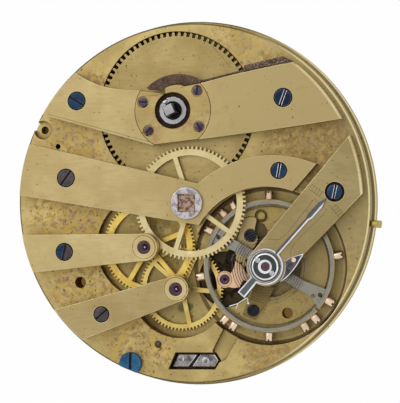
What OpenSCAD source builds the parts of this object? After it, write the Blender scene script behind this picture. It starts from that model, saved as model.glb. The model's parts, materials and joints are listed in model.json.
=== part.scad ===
// Key-wound bar movement of a pocket watch, seen from the back.
// Frame: +Z towards the bars, X right and Y up as the back is looked at. The origin lies on the
// hand axis, in the plane of the rim that the dial sits on. All sizes are in millimetres.

/* [Plate] */
// Diameter of the rim flange that rests in the case
flange_d = 43; // [41:0.1:46]
// Diameter of the plate above the flange
plate_d = 42.2; // [41:0.1:44]
// Height of the flange above the dial plane
flange_h = 1.3; // [0.8:0.05:1.6]
// Height of the plate's top above the dial plane
plate_h = 3.8; // [3.7:0.05:4.4]
// Depth of the sink for the dial work
dial_sink = 1.2; // [1.1:0.05:1.3]
// Thickness of the rim around the dial sink
rim_wall = 1.3; // [0.9:0.1:2]
// Thickness of the plate under the deepest pits
web_t = 0.5; // [0.45:0.05:0.6]

/* [Wheel train] */
// Teeth of the barrel
barrel_n = 80; // [78:1:81]
// Leaves of the centre pinion
centre_leaves = 16; // [15:1:17]
// Module of the barrel gearing
barrel_m = 0.2279; // [0.225:0.0005:0.231]
// Direction of the barrel from the centre
barrel_a = 99.2; // [97:0.1:101]
// Teeth of the centre wheel
centre_n = 80; // [78:1:82]
// Leaves of the third pinion
third_leaves = 10; // [8:1:10]
// Module of the centre wheel gearing
centre_m = 0.163; // [0.16:0.001:0.165]
// Direction of the third wheel from the centre
third_a = 224.7; // [223:0.1:226]
// Teeth of the third wheel
third_n = 75; // [72:1:77]
// Leaves of the fourth pinion
fourth_leaves = 10; // [8:1:10]
// Module of the third wheel gearing
third_m = 0.1455; // [0.142:0.001:0.147]
// Direction of the fourth wheel from the third
fourth_a = -51.9; // [-53:0.1:-50]
// Teeth of the fourth wheel
fourth_n = 70; // [68:1:72]
// Leaves of the escape pinion
escape_leaves = 7; // [6:1:8]
// Module of the fourth wheel gearing
fourth_m = 0.141; // [0.138:0.001:0.144]
// Direction of the escape wheel from the fourth
escape_a = 11.6; // [9:0.1:14]
// Thickness of the train wheels
wheel_t = 0.3; // [0.2:0.02:0.32]
// Width of a wheel rim below its teeth
wheel_rim = 0.72; // [0.5:0.02:0.8]
// Width of a wheel spoke
spoke_w = 0.54; // [0.4:0.02:0.8]
// Radius of the train arbors
arbor_r = 0.36; // [0.3:0.02:0.4]
// Radius of the train pivots
pivot_r = 0.11; // [0.08:0.01:0.12]
// Share of the pitch that a wheel tooth fills
tooth_share = 0.46; // [0.42:0.01:0.48]
// Share of the pitch that a pinion leaf fills
leaf_share = 0.35; // [0.3:0.01:0.38]

/* [Escapement] */
// Radius of the escape wheel's tips
escape_r = 2.3; // [2.2:0.02:2.35]
// Thickness of the escape wheel and the lever
escape_t = 0.22; // [0.15:0.01:0.25]
// Direction of the pallet arbor from the escape wheel
pallet_a = 45; // [42:0.5:48]
// Width of a pallet stone
stone_w = 0.28; // [0.2:0.01:0.34]
// Distance of the impulse pin from the balance axis
impulse_r = 0.6; // [0.5:0.02:0.62]
// Distance of the balance axis from the centre
balance_dist = 11.8; // [11.6:0.05:11.9]
// Direction of the balance axis from the centre
balance_a = -38.2; // [-39:0.1:-37.5]

/* [Balance] */
// Inner radius of the balance rim
rim_in_r = 7.15; // [7:0.02:7.2]
// Thickness of the steel inside the balance rim
rim_steel_t = 0.4; // [0.34:0.02:0.44]
// Thickness of the brass outside the balance rim
rim_brass_t = 0.18; // [0.14:0.02:0.2]
// Height of the balance rim
rim_h = 0.6; // [0.5:0.02:0.62]
// Width of the balance arms
balance_arm_w = 1.2; // [1:0.05:1.3]
// Direction of the balance arms
balance_arm_a = -29.8; // [-35:0.1:-25]
// Length of a balance screw's head
balance_screw_l = 0.95; // [0.8:0.05:1]
// Radius of a balance screw's head
balance_screw_r = 0.5; // [0.44:0.01:0.5]
// Distance between the coils of the hairspring
hairspring_pitch = 0.5; // [0.49:0.005:0.51]
// Thickness of the hairspring strip
hairspring_t = 0.08; // [0.06:0.005:0.085]
// Height of the hairspring strip
hairspring_h = 0.2; // [0.12:0.01:0.22]
// Coils of the hairspring
hairspring_turns = 7; // [6:1:7]

/* [Bars] */
// Thickness of the bars over the wheels
bar_t = 1.1; // [1:0.05:1.3]
// Distance from the plate's edge to the ends of the bars
bar_setback = 0.6; // [0.4:0.05:0.8]
// Gap between a bar and the wheel under it
bar_gap = 0.25; // [0.2:0.05:0.35]
// Radius of the round end of the third wheel bar
third_end_r = 1.62; // [1.56:0.02:1.75]
// Radius of the round end of the fourth wheel bar
fourth_end_r = 1.54; // [1.52:0.02:1.7]
// Radius of the round end of the balance cock
cock_end_r = 2.25; // [2.2:0.05:2.35]
// Radius of the plate that covers the ratchet wheel
cover_r = 4.55; // [4.5:0.05:4.7]
// Radius of the hole in the ratchet cover
cover_hole_r = 2.1; // [1.9:0.05:2.2]

/* [Winding] */
// Radius of the barrel arbor
winding_r = 1.62; // [1.5:0.02:1.65]
// Width of the winding square
winding_sq = 1.2; // [1.1:0.05:1.4]
// Height of the winding square above the bars
winding_sq_h = 2; // [1:0.1:2.4]
// Teeth of the ratchet wheel
ratchet_n = 24; // [18:6:30]
// Radius of the ratchet wheel's tips
ratchet_r = 2.36; // [2.32:0.02:2.4]
// Depth of the ratchet teeth
ratchet_tooth = 0.3; // [0.24:0.02:0.32]
// Thickness of the ratchet wheel and the click
ratchet_t = 0.35; // [0.3:0.01:0.38]
// Thickness of the barrel's wall
barrel_wall = 0.4; // [0.3:0.05:0.45]
// Thickness of the mainspring strip
mainspring_t = 0.2; // [0.12:0.01:0.21]
// Distance between the coils of the mainspring
mainspring_pitch = 0.62; // [0.6:0.01:0.63]

/* [Screws and jewels] */
// Radius of a bar screw's head
screw_head_r = 1; // [0.85:0.02:1.05]
// Height of a bar screw's head
screw_head_h = 0.5; // [0.4:0.02:0.55]
// Radius of a bar screw's thread
screw_r = 0.45; // [0.4:0.01:0.48]
// Width of a screw slot
slot_w = 0.22; // [0.15:0.01:0.25]
// Radius of a train jewel
jewel_r = 0.77; // [0.65:0.01:0.8]
// Radius of a train jewel's setting
setting_r = 1.34; // [1.24:0.01:1.36]
// Radius of a dial foot hole
foot_hole_r = 0.65; // [0.5:0.05:0.75]
// Radius of the case pin
case_pin_r = 0.44; // [0.35:0.01:0.5]
// Length of the case pin outside the plate
case_pin_l = 1.2; // [1:0.05:1.5]

/* [Dial work] */
// Leaves of the cannon pinion
cannon_leaves = 12; // [12:1:14]
// Teeth of the minute wheel
minute_n = 36; // [34:1:38]
// Leaves of the minute pinion
minute_leaves = 10; // [8:1:10]
// Teeth of the hour wheel
hour_n = 40; // [38:1:42]
// Module of the cannon pinion gearing
cannon_m = 0.15; // [0.145:0.001:0.155]
// Direction of the minute wheel from the centre
minute_a = 20; // [0:1:40]
// Radius of the cannon pinion's post
cannon_r = 0.67; // [0.66:0.01:0.68]
// Radius of the seat for the minute hand
minute_seat_r = 0.5; // [0.46:0.01:0.5]
// Length of the cannon pinion's post below the dial plane
cannon_l = 1.6; // [1.4:0.1:2]
// Radius of the hour wheel's pipe
hour_pipe_r = 0.98; // [0.95:0.01:1]
// Length of the hour wheel's pipe below the dial plane
hour_pipe_l = 0.8; // [0.6:0.1:1]

/* [Hidden] */
$fn = 48;
fit = 0.02;       // clearance of pieces that are pressed or screwed together
run = 0.03;       // clearance of a pivot in its hole
seat_gap = 0.1;   // gap around a screw's head in its counterbore
gap = 0.1;        // least gap beside a moving piece
eps = 0.02;       // overrun of a cut past the face that it opens
side = 0.25;      // gap around a wheel in its pit
layer = 0.25;     // gap between wheels that pass over each other

function polar(r, a) = [r * cos(a), r * sin(a)];
function turned(p, a) = [p[0] * cos(a) - p[1] * sin(a), p[0] * sin(a) + p[1] * cos(a)];
function moved(points, d) = [for (p = points) p + d];
function centre_of(a, b, c) =
    let (d = 2 * (a[0] * (b[1] - c[1]) + b[0] * (c[1] - a[1]) + c[0] * (a[1] - b[1])),
         aa = a * a, bb = b * b, cc = c * c)
    [(aa * (b[1] - c[1]) + bb * (c[1] - a[1]) + cc * (a[1] - b[1])) / d,
     (aa * (c[0] - b[0]) + bb * (a[0] - c[0]) + cc * (b[0] - a[0])) / d];
// Points along the circle from a through b to c
function arc(a, b, c, n = 8) =
    let (m = centre_of(a, b, c), r = norm(a - m),
         a0 = atan2(a[1] - m[1], a[0] - m[0]), a2 = atan2(c[1] - m[1], c[0] - m[0]),
         cross = (b[0] - a[0]) * (c[1] - b[1]) - (b[1] - a[1]) * (c[0] - b[0]),
         raw = a2 - a0,
         span = cross > 0 ? (raw < 0 ? raw + 360 : raw) : (raw > 0 ? raw - 360 : raw))
    [for (i = [0:n]) m + polar(r, a0 + span * i / n)];
// An outline that is the same on both sides of the X axis, from its upper half
function both_sides(half) = concat(half, [for (i = [len(half) - 1:-1:0]) [half[i][0], -half[i][1]]]);
// Points along a circle about m, from angle a0 to a1
function sweep(m, r, a0, a1, n = 8) = [for (i = [0:n]) m + polar(r, a0 + (a1 - a0) * i / n)];

// Pitch radii and axes of the train
barrel_pr = barrel_m * barrel_n / 2;
centre_pr = centre_m * centre_n / 2;
third_pr = third_m * third_n / 2;
fourth_pr = fourth_m * fourth_n / 2;
centre_ax = [0, 0];
barrel_ax = polar(barrel_m * (barrel_n + centre_leaves) / 2, barrel_a);
third_ax = polar(centre_m * (centre_n + third_leaves) / 2, third_a);
fourth_ax = third_ax + polar(third_m * (third_n + fourth_leaves) / 2, fourth_a);
escape_ax = fourth_ax + polar(fourth_m * (fourth_n + escape_leaves) / 2, escape_a);
balance_ax = polar(balance_dist, balance_a);
pallet_ax = escape_ax + polar(escape_r / cos(30), pallet_a);
minute_dist = cannon_m * (cannon_leaves + minute_n) / 2;
minute_ax = polar(minute_dist, minute_a);
hour_m = 2 * minute_dist / (minute_leaves + hour_n);
lever_v = balance_ax - pallet_ax;
lever_a = atan2(lever_v[1], lever_v[0]);
lever_l = norm(lever_v);

// Tooth proportions, in modules
wheel_add = 1.05;
wheel_ded = 1.15;
barrel_add = 0.8;
barrel_ded = 1.45;
leaf_add = 0.6;
leaf_ded = 1.55;
function tip_r(n, m) = m * (n / 2 + wheel_add);

// Levels, from the dial side up
floor_z = dial_sink + web_t;
escape_z = floor_z + 0.15;
fourth_z = escape_z + escape_t + layer;
third_z = fourth_z + wheel_t + layer + 0.05;
barrel_z = floor_z + gap;
barrel_top = plate_h - 0.05;
barrel_tooth_t = 0.5;
centre_z = plate_h + layer;
bar_z = centre_z + wheel_t + bar_gap;
bar_top = bar_z + bar_t;
ratchet_z = bar_z + 0.4;
cover_z = ratchet_z + ratchet_t + 0.05;
recess_z = floor_z + 1;
roller_z = escape_z + escape_t + 0.3;
cock_low_z = fourth_z + wheel_t + 0.2;
rim_z = plate_h - 0.65;
arm_z = rim_z + 0.14;
arm_t = 0.3;
cock_z = bar_z + 0.15;
cock_low_top = arm_z - 0.12;
hairspring_z = cock_z - 0.2 - hairspring_h;
regulator_z = bar_top + 0.05;
regulator_t = 0.3;
cap_t = 0.45;

// Pits in the plate
plate_r = plate_d / 2;
rim_mid_r = rim_in_r + rim_steel_t;
rim_out_r = rim_mid_r + rim_brass_t;
bar_end_r = plate_r - bar_setback;
barrel_pit_r = barrel_m * (barrel_n / 2 + barrel_add) + 0.06;
centre_clear_r = tip_r(centre_n, centre_m) + side;
third_pit_r = tip_r(third_n, third_m) + 0.6;
fourth_pit_r = tip_r(fourth_n, fourth_m) + 0.7;
recess_r = rim_out_r + balance_screw_l + 0.5;
escape_pit_r = escape_r + 1;
pallet_pit_r = escape_pit_r * 0.66;
balance_pit_r = 3.66;
trench_r = rim_in_r - 0.3;
trench_z = recess_z - 0.4;
pit_z = floor_z + 0.3;
centre_pit_r = barrel_m * (centre_leaves / 2 + leaf_add) + side;

// Places of the bar screws, each with the direction of its slot
// Place, slot angle and head radius of each screw of the two wide bars
bridge_screws = [[barrel_ax + [-11.65, 1.25], -32, screw_head_r],
    [barrel_ax + [13.05, 1.35], 70, screw_head_r]];
centre_screws = [[[-14.72, 2.97], 53, screw_head_r], [[10.81, 3.75], 80, screw_head_r * 0.88]];
third_head_r = screw_head_r * 0.96;
fourth_head_r = screw_head_r * 0.86;
third_screw_at = third_ax + [-9.7, -0.6];
fourth_screw_at = fourth_ax + [-8.97, -3.05];
cock_screw_at = balance_ax + polar(11.75, 47);
cover_screw_a = [164, 219, 37.5, -31];
cover_screw_in = 0.85;
cover_screw_dist = cover_r - cover_screw_in;
pallet_screw_at = pallet_ax + [1.11, 3.28];
escape_screw_at = escape_ax + [3.41, -3.58];
low_screw_r = 0.68;

// Shared shapes

// A disc or hole at a place, between two levels
module rod(at, r, z0, z1) { translate([at[0], at[1], z0]) cylinder(r = r, h = z1 - z0); }

// An outline raised from one level to another
module plate_between(z0, z1) { translate([0, 0, z0]) linear_extrude(z1 - z0) children(); }

// One side of a wheel tooth: an epicycloid that a circle of half the pinion's radius rolls out
function flank(n, m, mate, add) =
    let (r = m * n / 2, g = m * mate / 4, tip = r + add * m,
         most = acos((pow(r + g, 2) + g * g - tip * tip) / (2 * (r + g) * g)))
    [for (s = [0, 0.6, 1])
        let (roll = most * s, f = roll * g / r,
             p = (r + g) * [cos(f), sin(f)] - g * [cos(f + roll), sin(f + roll)])
        [norm(p), atan2(p[1], p[0])]];
function tooth(n, m, mate, add, ded) =
    let (h = 180 / n * tooth_share, root = m * (n / 2 - ded), f = flank(n, m, mate, add))
    concat([[root, -h]], [for (q = f) [q[0], q[1] - h]],
        [for (i = [len(f) - 1:-1:0]) [f[i][0], h - f[i][1]]], [[root, h]]);
function leaf(n, m) =
    let (h = 180 / n * leaf_share, root = m * (n / 2 - leaf_ded), r = m * n / 2)
    [[root, -h], [r, -h], [r + leaf_add * m * 0.7, -0.7 * h], [r + leaf_add * m, -0.25 * h],
     [r + leaf_add * m, 0.25 * h], [r + leaf_add * m * 0.7, 0.7 * h], [r, h], [root, h]];
module toothed(n, profile) {
    polygon([for (i = [0:n - 1]) for (q = profile) polar(q[0], q[1] + 360 * i / n)]);
}
module wheel_outline(n, m, mate, add = wheel_add, ded = wheel_ded) {
    toothed(n, tooth(n, m, mate, add, ded));
}
module pinion_outline(n, m) { toothed(n, leaf(n, m)); }

// A crossed-out wheel with its teeth set at tooth_a and its five spokes at spoke_a
module crossed_wheel(n, m, mate, bore, hub, tooth_a, spoke_a, rim = wheel_rim) {
    inner = m * (n / 2 - wheel_ded) - rim;
    difference() {
        rotate(tooth_a) wheel_outline(n, m, mate);
        difference() {
            circle(r = inner);
            circle(r = hub);
            for (k = [0:4]) rotate(spoke_a + 72 * k) translate([0, -spoke_w / 2])
                square([inner + 1, spoke_w]);
        }
        circle(r = bore);
    }
}

// A slotted screw with its head on a seat and its thread below
module slotted_screw(at, head_r, head_h, seat_z, thread_r, thread_z, slot_a) {
    slot_d = head_h * 0.45;
    difference() {
        union() {
            rod(at, head_r, seat_z, seat_z + head_h);
            rod(at, thread_r, thread_z, seat_z + eps);
        }
        translate([at[0], at[1], seat_z + head_h - slot_d]) rotate(slot_a)
            translate([-head_r - 1, -slot_w / 2, 0]) cube([2 * head_r + 2, slot_w, head_h]);
    }
}

// The hole and counterbore that a slotted screw sits in
module screw_seat(at, head_r, seat_z, thread_r, low_z) {
    rod(at, head_r + seat_gap, seat_z, seat_z + 3);
    rod(at, thread_r + fit, low_z, seat_z + eps);
}

// A jewel ring with an oil cup sunk in its top
module jewel(at, r, z0, z1, hole) {
    cup = (z1 - z0) * 0.4;
    difference() {
        rod(at, r, z0, z1);
        rod(at, hole, z0 - 1, z1 + 1);
        translate([at[0], at[1], z1 - cup]) cylinder(r1 = hole, r2 = r * 0.7, h = cup + 0.001);
    }
}

// A flat strip wound in a spiral from r0 outwards, ending at angle a1
function spiral_r(r0, pitch, f) = r0 + pitch * f;
module spiral_strip(r0, pitch, turns, t, a1) {
    steps = ceil(turns * 32);
    function edge(off) = [for (i = [0:steps]) let (f = turns * i / steps)
        polar(spiral_r(r0, pitch, f) + off, a1 + 360 * (f - turns))];
    inner_edge = edge(-t / 2);
    polygon(concat(edge(t / 2), [for (i = [steps:-1:0]) inner_edge[i]]));
}

// Space that the train and balance take under the bars
module under_bars(top) {
    low = plate_h - 1;
    rod(barrel_ax, barrel_pit_r + gap, low, top);
    rod(centre_ax, centre_clear_r, low, top);
    rod(third_ax, third_pit_r + gap, low, top);
    rod(fourth_ax, fourth_pit_r + gap, low, top);
    rod(balance_ax, recess_r + gap, low, top);
}

// A bar that stands on the plate and bridges the wheels
module bar(under) {
    difference() {
        intersection() {
            plate_between(plate_h, bar_top) children();
            rod(centre_ax, bar_end_r, plate_h - 1, bar_top + 1);
        }
        under_bars(under);
    }
}

// Fixed pieces of the frame

// Steel block's slot at the plate's lower edge
slot_at = [0.4, -18.5];
slot_outline = [[-2.25, 0.95], [2.5, 1.02], [3.1, 0.06], [2.5, -0.92], [-3.1, -1.02]];
block_outline = [[-2, 0.67], [2.35, 0.75], [2.8, 0.06], [2.35, -0.65], [-2.7, -0.75]];
block_domes = [[-1.75, 0.2], [1.27, 0.03]];
dome_r = 0.34;
slot_floor = floor_z + 0.6;
slot_block_h = 0.95;
groove_floor = recess_z + 0.35;
groove = [[4.3, -13.9], [2.6, -17.25], [3.4, -18.6], [4.2, -18.2], [6.6, -13.9]];
foot_holes = [[-13.48, -9.43], [11.3, -12.79]];
oil_hole = [-16.27, 6.75];
oil_hole_r = 0.28;
plate_pin_at = [-3.95, -16.63];
plate_pin_r = 0.35;
case_hole_a = 154.3;
case_hole_dist = plate_r - 0.97;
case_hole_r = 0.46;
case_bore_r = 1.08;
case_bore_d = 0.8;
case_screw_a = -110.9;
case_screw_dist = plate_r - 0.86;
case_head_r = 1.34;
case_pin_a = -6.3;
case_pin_z = 2.62;
case_pin_in = 0.9;
case_shank_r = case_pin_r * 0.6;
case_shoulder = 0.12;
// Turned lines in the plate's wall, each from its lower level up
wall_lines = [flange_h, plate_h - 0.45];
wall_line_w = 0.16;
wall_line_d = 0.12;
// Sunk places of the balance recess, from the balance axis
slip = [[-1.73, 5.24], [-0.72, 4.87], [-0.33, 4.15], [-0.38, 3.42], [-1.46, 2.26], [-2, 2.05],
    [-1.78, 2.99], [-1.94, 3.93]];
hook_at = [-1.09, 5.81];
hook_r = 0.79;
knob_r = 0.42;
knob_top = recess_z - 0.25;
lower_jewel_r = 0.6;
lower_jewel_list = [[third_ax, third_z - side], [fourth_ax, fourth_z - side],
    [escape_ax, floor_z], [pallet_ax, floor_z], [balance_ax, floor_z]];
sink_r = flange_d / 2 - rim_wall;

module main_plate() color("goldenrod") difference() {
    union() {
        rod(centre_ax, flange_d / 2, 0, flange_h);
        rod(centre_ax, plate_r, flange_h - eps, plate_h);
    }
    rod(centre_ax, sink_r, -1, dial_sink);
    // pits for the barrel, train, balance and escapement
    rod(barrel_ax, barrel_pit_r, floor_z, plate_h + 1);
    rod(centre_ax, centre_pit_r, barrel_top - barrel_tooth_t - side - gap, plate_h + 1);
    rod(third_ax, third_pit_r, third_z - side, plate_h + 1);
    rod(fourth_ax, fourth_pit_r, fourth_z - side, plate_h + 1);
    rod(balance_ax, recess_r, recess_z, plate_h + 1);
    difference() {
        rod(balance_ax, recess_r, trench_z, recess_z + eps);
        rod(balance_ax, trench_r, trench_z - 1, recess_z + 1);
    }
    rod(escape_ax, escape_pit_r, floor_z, plate_h + 1);
    rod(pallet_ax, pallet_pit_r, floor_z, recess_z + eps);
    rod(balance_ax, balance_pit_r, floor_z, recess_z + eps);
    plate_between(pit_z, recess_z + eps) polygon(moved(slip, balance_ax));
    difference() {
        rod(balance_ax + hook_at, hook_r, pit_z, recess_z + eps);
        rod(balance_ax + hook_at, knob_r, pit_z - 1, knob_top);
    }
    plate_between(pallet_low, recess_z + eps) polygon(moved(pallet_seat, pallet_ax));
    plate_between(groove_floor, plate_h + 1) polygon(groove);
    plate_between(slot_floor, plate_h + 1) polygon(moved(slot_outline, slot_at));
    // bearings and jewel seats
    rod(barrel_ax, low_pivot_r + run, 0, plate_h);
    rod(centre_ax, centre_pivot_r + run, 0, plate_h);
    for (j = lower_jewel_list) rod(j[0], lower_jewel_r + fit, 0, j[1] + eps);
    rod(minute_ax, minute_post_r + fit, 0, dial_sink + post_sunk);
    // screws and pins
    for (s = concat(bridge_screws, centre_screws)) rod(s[0], screw_r + fit, thread_z - gap, plate_h + 1);
    for (s = [third_screw_at, fourth_screw_at, cock_screw_at])
        rod(s, screw_r + fit, thread_z - gap, plate_h + 1);
    for (s = [pallet_screw_at, escape_screw_at]) rod(s, low_thread_r + fit, floor_z, recess_z + 1);
    for (h = foot_holes) rod(h, foot_hole_r, -1, plate_h + 1);
    rod(oil_hole, oil_hole_r, -1, plate_h + 1);
    rod(plate_pin_at, plate_pin_r + fit, thread_z, plate_h + 1);
    rod(polar(case_hole_dist, case_hole_a), case_hole_r, thread_z, plate_h + 1);
    rod(polar(case_hole_dist, case_hole_a), case_bore_r, plate_h - case_bore_d, plate_h + 1);
    rod(polar(case_screw_dist, case_screw_a), screw_r + fit, thread_z - gap, plate_h + 1);
    rotate(case_pin_a) translate([plate_r - case_pin_in, 0, case_pin_z]) rotate([0, 90, 0])
        cylinder(r = case_shank_r + fit, h = 5);
    for (z = wall_lines) difference() {
        rod(centre_ax, plate_r + 5, z, z + wall_line_w);
        rod(centre_ax, plate_r - wall_line_d, z - 1, z + 1);
    }
}

thread_z = dial_sink + 0.4;
low_thread_r = 0.3;
minute_post_r = 0.3;
post_sunk = 0.4;
centre_pivot_r = 0.8;
head_seat = bar_top + 0.06 - screw_head_h;

// Outline of the barrel bridge about the barrel axis
bridge_outline = concat(
    arc([-11.9, 4.65], [-8.8, 3.05], [-6.35, 2.55]),
    [[-2.95, 2.3], [-0.87, 1.92], [-0.95, 2.62]],
    arc([-0.55, 2.82], [0.3, 3], [1, 2.98], 4),
    [[1.35, 2.8], [3.29, 3.12]],
    arc([3.6, 3.18], [8.02, 4.23], [14.35, 5.4]),
    [[21, 5.2], [22, -1.1]],
    arc([19.9, -1.15], [9.67, -2.6], [3.29, -3.36]),
    [[-2.46, -4.01], [-20, 0.8]]);
// Outline of the click's foot, which the bridge carries on a ledge
click_foot = [[8.3, 4.5], [8.55, 5.1], [12.95, 6.15], [14.2, 5.62]];
click_pivot = barrel_ax + [11, 5.25];
click_pin_r = 0.35;

module barrel_bridge() color("darkkhaki") difference() {
    union() {
        bar(bar_z) polygon(moved(bridge_outline, barrel_ax));
        intersection() {
            plate_between(plate_h, ratchet_z - 0.05)
                polygon(moved(concat(click_foot, [[14, 3], [8.3, 3]]), barrel_ax));
            rod(centre_ax, bar_end_r, plate_h - 1, bar_top);
            difference() {
                rod(centre_ax, bar_end_r, plate_h - 1, bar_top);
                rod(barrel_ax, barrel_pit_r + gap, plate_h - 2, bar_z);
            }
        }
    }
    rod(barrel_ax, winding_r + run, plate_h, bar_top + 1);
    rod(barrel_ax, ratchet_r + side, ratchet_z - 0.05, bar_top + 1);
    rod(barrel_ax, cover_r + fit, cover_z, bar_top + 1);
    rod(click_pivot, click_pin_r + run, plate_h - 1, bar_top + 1);
    for (s = bridge_screws) screw_seat(s[0], s[2], head_seat, screw_r, plate_h - 1);
    for (a = cover_screw_a)
        rod(barrel_ax + polar(cover_screw_dist, a), cover_thread_r + fit, bar_z + 0.1, bar_top);
}

cover_thread_r = 0.28;
cover_head_r = 0.53;
cover_head_h = 0.16;

module ratchet_cover() color("darkkhaki") difference() {
    intersection() {
        plate_between(cover_z, bar_top) polygon(moved(bridge_outline, barrel_ax));
        rod(barrel_ax, cover_r, cover_z - 1, bar_top + 1);
    }
    rod(barrel_ax, cover_hole_r, cover_z - 1, bar_top + 1);
    for (a = cover_screw_a) screw_seat(barrel_ax + polar(cover_screw_dist, a), cover_head_r,
        bar_top - 0.13, cover_thread_r, cover_z - 1);
}

// The lower edge of the centre bridge follows the balance recess
bridge_arc_r = recess_r + 0.05;
centre_outline = concat(
    [[-24, 8.15], [1.18, 2.3]],
    arc([1.6, 2.6], [6.86, 5.15], [15.15, 4.5], 12),
    sweep(balance_ax, bridge_arc_r, 70, 149, 14),
    [[-24, 1.5]]);

module centre_bridge() color("darkkhaki") difference() {
    bar(bar_z) polygon(centre_outline);
    rod(centre_ax, centre_pivot_r + run, plate_h, bar_top + 1);
    for (s = centre_screws) screw_seat(s[0], s[2], head_seat, screw_r, plate_h - 1);
}

// Width of the open line around a jewel setting
setting_line = 0.06;
// A tapered bar from the plate's edge to a round end over a wheel's axis
module train_bar(ax, end_r, tail, screw_at, head_r) difference() {
    bar(bar_z) {
        translate(ax) circle(r = end_r);
        polygon(moved(tail, ax));
    }
    rod(ax, setting_r + fit, bar_z - 1, bar_top + 1);
    rod(ax, setting_r + setting_line, bar_top - 0.12, bar_top + 1);
    screw_seat(screw_at, head_r, head_seat, screw_r, plate_h - 1);
}

module third_wheel_bridge() color("darkkhaki")
    train_bar(third_ax, third_end_r, [[0.1, third_end_r - 0.02], [-17, third_end_r - 0.25],
        [-17, -3.45], [-0.2, 0.02 - third_end_r]], third_screw_at, third_head_r);

module fourth_wheel_bridge() color("darkkhaki")
    train_bar(fourth_ax, fourth_end_r, [turned([0, fourth_end_r - 0.02], 15.5), [-16.5, -3.05],
        [-13.5, -6.95], turned([0, 0.02 - fourth_end_r], 21.5)], fourth_screw_at, fourth_head_r);

cock_a = 48.5;
cock_outline = [[0, cock_end_r], [19, cock_end_r + 0.5], [19, -3.1], [12.1, -2.75], [0, -cock_end_r]];

module balance_cock() color("darkkhaki") difference() {
    intersection() {
        union() {
            rod(balance_ax, cock_end_r, plate_h, bar_top);
            plate_between(plate_h, bar_top) translate(balance_ax) rotate(cock_a) polygon(cock_outline);
        }
        rod(centre_ax, bar_end_r, plate_h - 1, bar_top + 1);
    }
    rod(balance_ax, recess_r + gap, plate_h - 1, cock_z);
    rod(balance_ax, balance_jewel_r + fit, cock_z - 1, bar_top + 1);
    for (a = cap_screw_a)
        rod(balance_ax + polar(cap_screw_dist, a), tiny_r + fit, bar_top - 0.5, bar_top + 1);
    rod(carrier_screw_at, tiny_r + fit, bar_top - 0.5, bar_top + 1);
    rod(stud_at, stud_r + fit, plate_h, bar_top + 1);
    screw_seat(cock_screw_at, cock_bore_r - seat_gap, head_seat, screw_r, plate_h - 1);
}

cock_head_r = 0.86;
cock_bore_r = 1.14;
balance_jewel_r = 0.62;
cap_screw_a = [138.5, -41.5];
cap_screw_dist = 1.13;
tiny_r = 0.16;
tiny_head_r = 0.27;
cap_r = 1.56;
end_stone_r = 0.48;
stone_top = bar_top + 0.22;
sink_top_r = 0.78;
cap_seat = bar_top + cap_t - 0.14;

// Cocks of the escapement, sunk under the balance

// The escape cock's block beside the jewel, its neck under the balance cock and its foot
escape_cock_r = 0.98;
escape_cock_outline = [[0.68, 0.64], [1.07, 1.29], [1.23, 2.18], [1.87, 1.82], [2.41, 1.1], [2.58, 0.74],
    [3.68, 0.34], [4.38, -0.46], [5.9, -0.85], [5.16, -2.31], [3.51, -4.7], [2.09, -4.1], [3.28, -1.26],
    [2.68, -0.16], [2.19, -0.05], [1.77, -0.89], [1.02, -1], [0.2, -0.8]];
module escape_cock() color("tan") difference() {
    union() {
        rod(escape_ax, escape_cock_r, cock_low_z, cock_low_top);
        plate_between(recess_z, cock_low_top) polygon(moved(escape_cock_outline, escape_ax));
    }
    rod(escape_ax, escape_pit_r + gap, recess_z - 1, cock_low_z);
    rod(pallet_ax, pallet_pit_r + gap, recess_z - 1, cock_low_z);
    rod(balance_ax, balance_pit_r + gap, recess_z - 1, cock_low_z);
    rod(escape_ax, low_setting_r + fit, recess_z - 1, cock_low_top + 1);
    screw_seat(escape_screw_at, low_screw_r, escape_seat, low_thread_r, recess_z - 1);
}

low_setting_r = 0.86;
low_jewel_r = 0.56;
low_head_h = 0.25;
escape_seat = cock_low_top - low_head_h;
low_screw_z = floor_z + gap;

// The pallet cock lies in a seat of its own, flush with the floor around it
pallet_low = recess_z - 0.4;
pallet_top = recess_z + 0.03;
pallet_seat_z = pallet_top - 0.1;
pallet_end_r = 0.6;
pallet_foot = [[-0.54, 2.65], [-0.11, 4.11], [0.31, 5.21], [0.95, 5.44], [1.71, 5.37], [1.85, 5],
    [1.66, 4.33], [1.62, 3.7], [2.01, 2.82], [1.59, 1.93]];
pallet_seat = [[-0.64, 2.6], [-0.21, 4.14], [0.24, 5.3], [0.93, 5.54], [1.79, 5.46], [1.97, 5],
    [1.77, 4.3], [1.72, 3.7], [2.12, 2.85], [1.6, 1.7], [-0.5, 1.7]];
module pallet_cock() color("darkkhaki") difference() {
    union() {
        plate_between(pallet_low, pallet_top)
            polygon(moved(concat(pallet_foot, [[0.5, 0.3], [-0.55, 0.2], [-0.7, 1.4]]), pallet_ax));
        rod(pallet_ax, pallet_end_r, pallet_low, pallet_top);
    }
    rod(pallet_ax, pivot_r + run, pallet_low - 1, pallet_top + 1);
    screw_seat(pallet_screw_at, low_screw_r, pallet_seat_z, low_thread_r, pallet_low - 1);
}

// Fasteners and pins

module bar_screws() color("midnightblue") {
    for (s = concat(bridge_screws, centre_screws))
        slotted_screw(s[0], s[2], screw_head_h, head_seat, screw_r, thread_z, s[1]);
    slotted_screw(third_screw_at, third_head_r, screw_head_h, head_seat, screw_r, thread_z, 77);
    slotted_screw(fourth_screw_at, fourth_head_r, screw_head_h, head_seat, screw_r, thread_z, 40);
}

module cock_screw() color("midnightblue")
    slotted_screw(cock_screw_at, cock_head_r, screw_head_h, head_seat, screw_r, thread_z, 78);

module ratchet_cover_screws() color("indigo") for (i = [0:3])
    slotted_screw(barrel_ax + polar(cover_screw_dist, cover_screw_a[i]), cover_head_r, cover_head_h,
        bar_top - 0.13, cover_thread_r, bar_z + 0.2, 40 * i);

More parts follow.
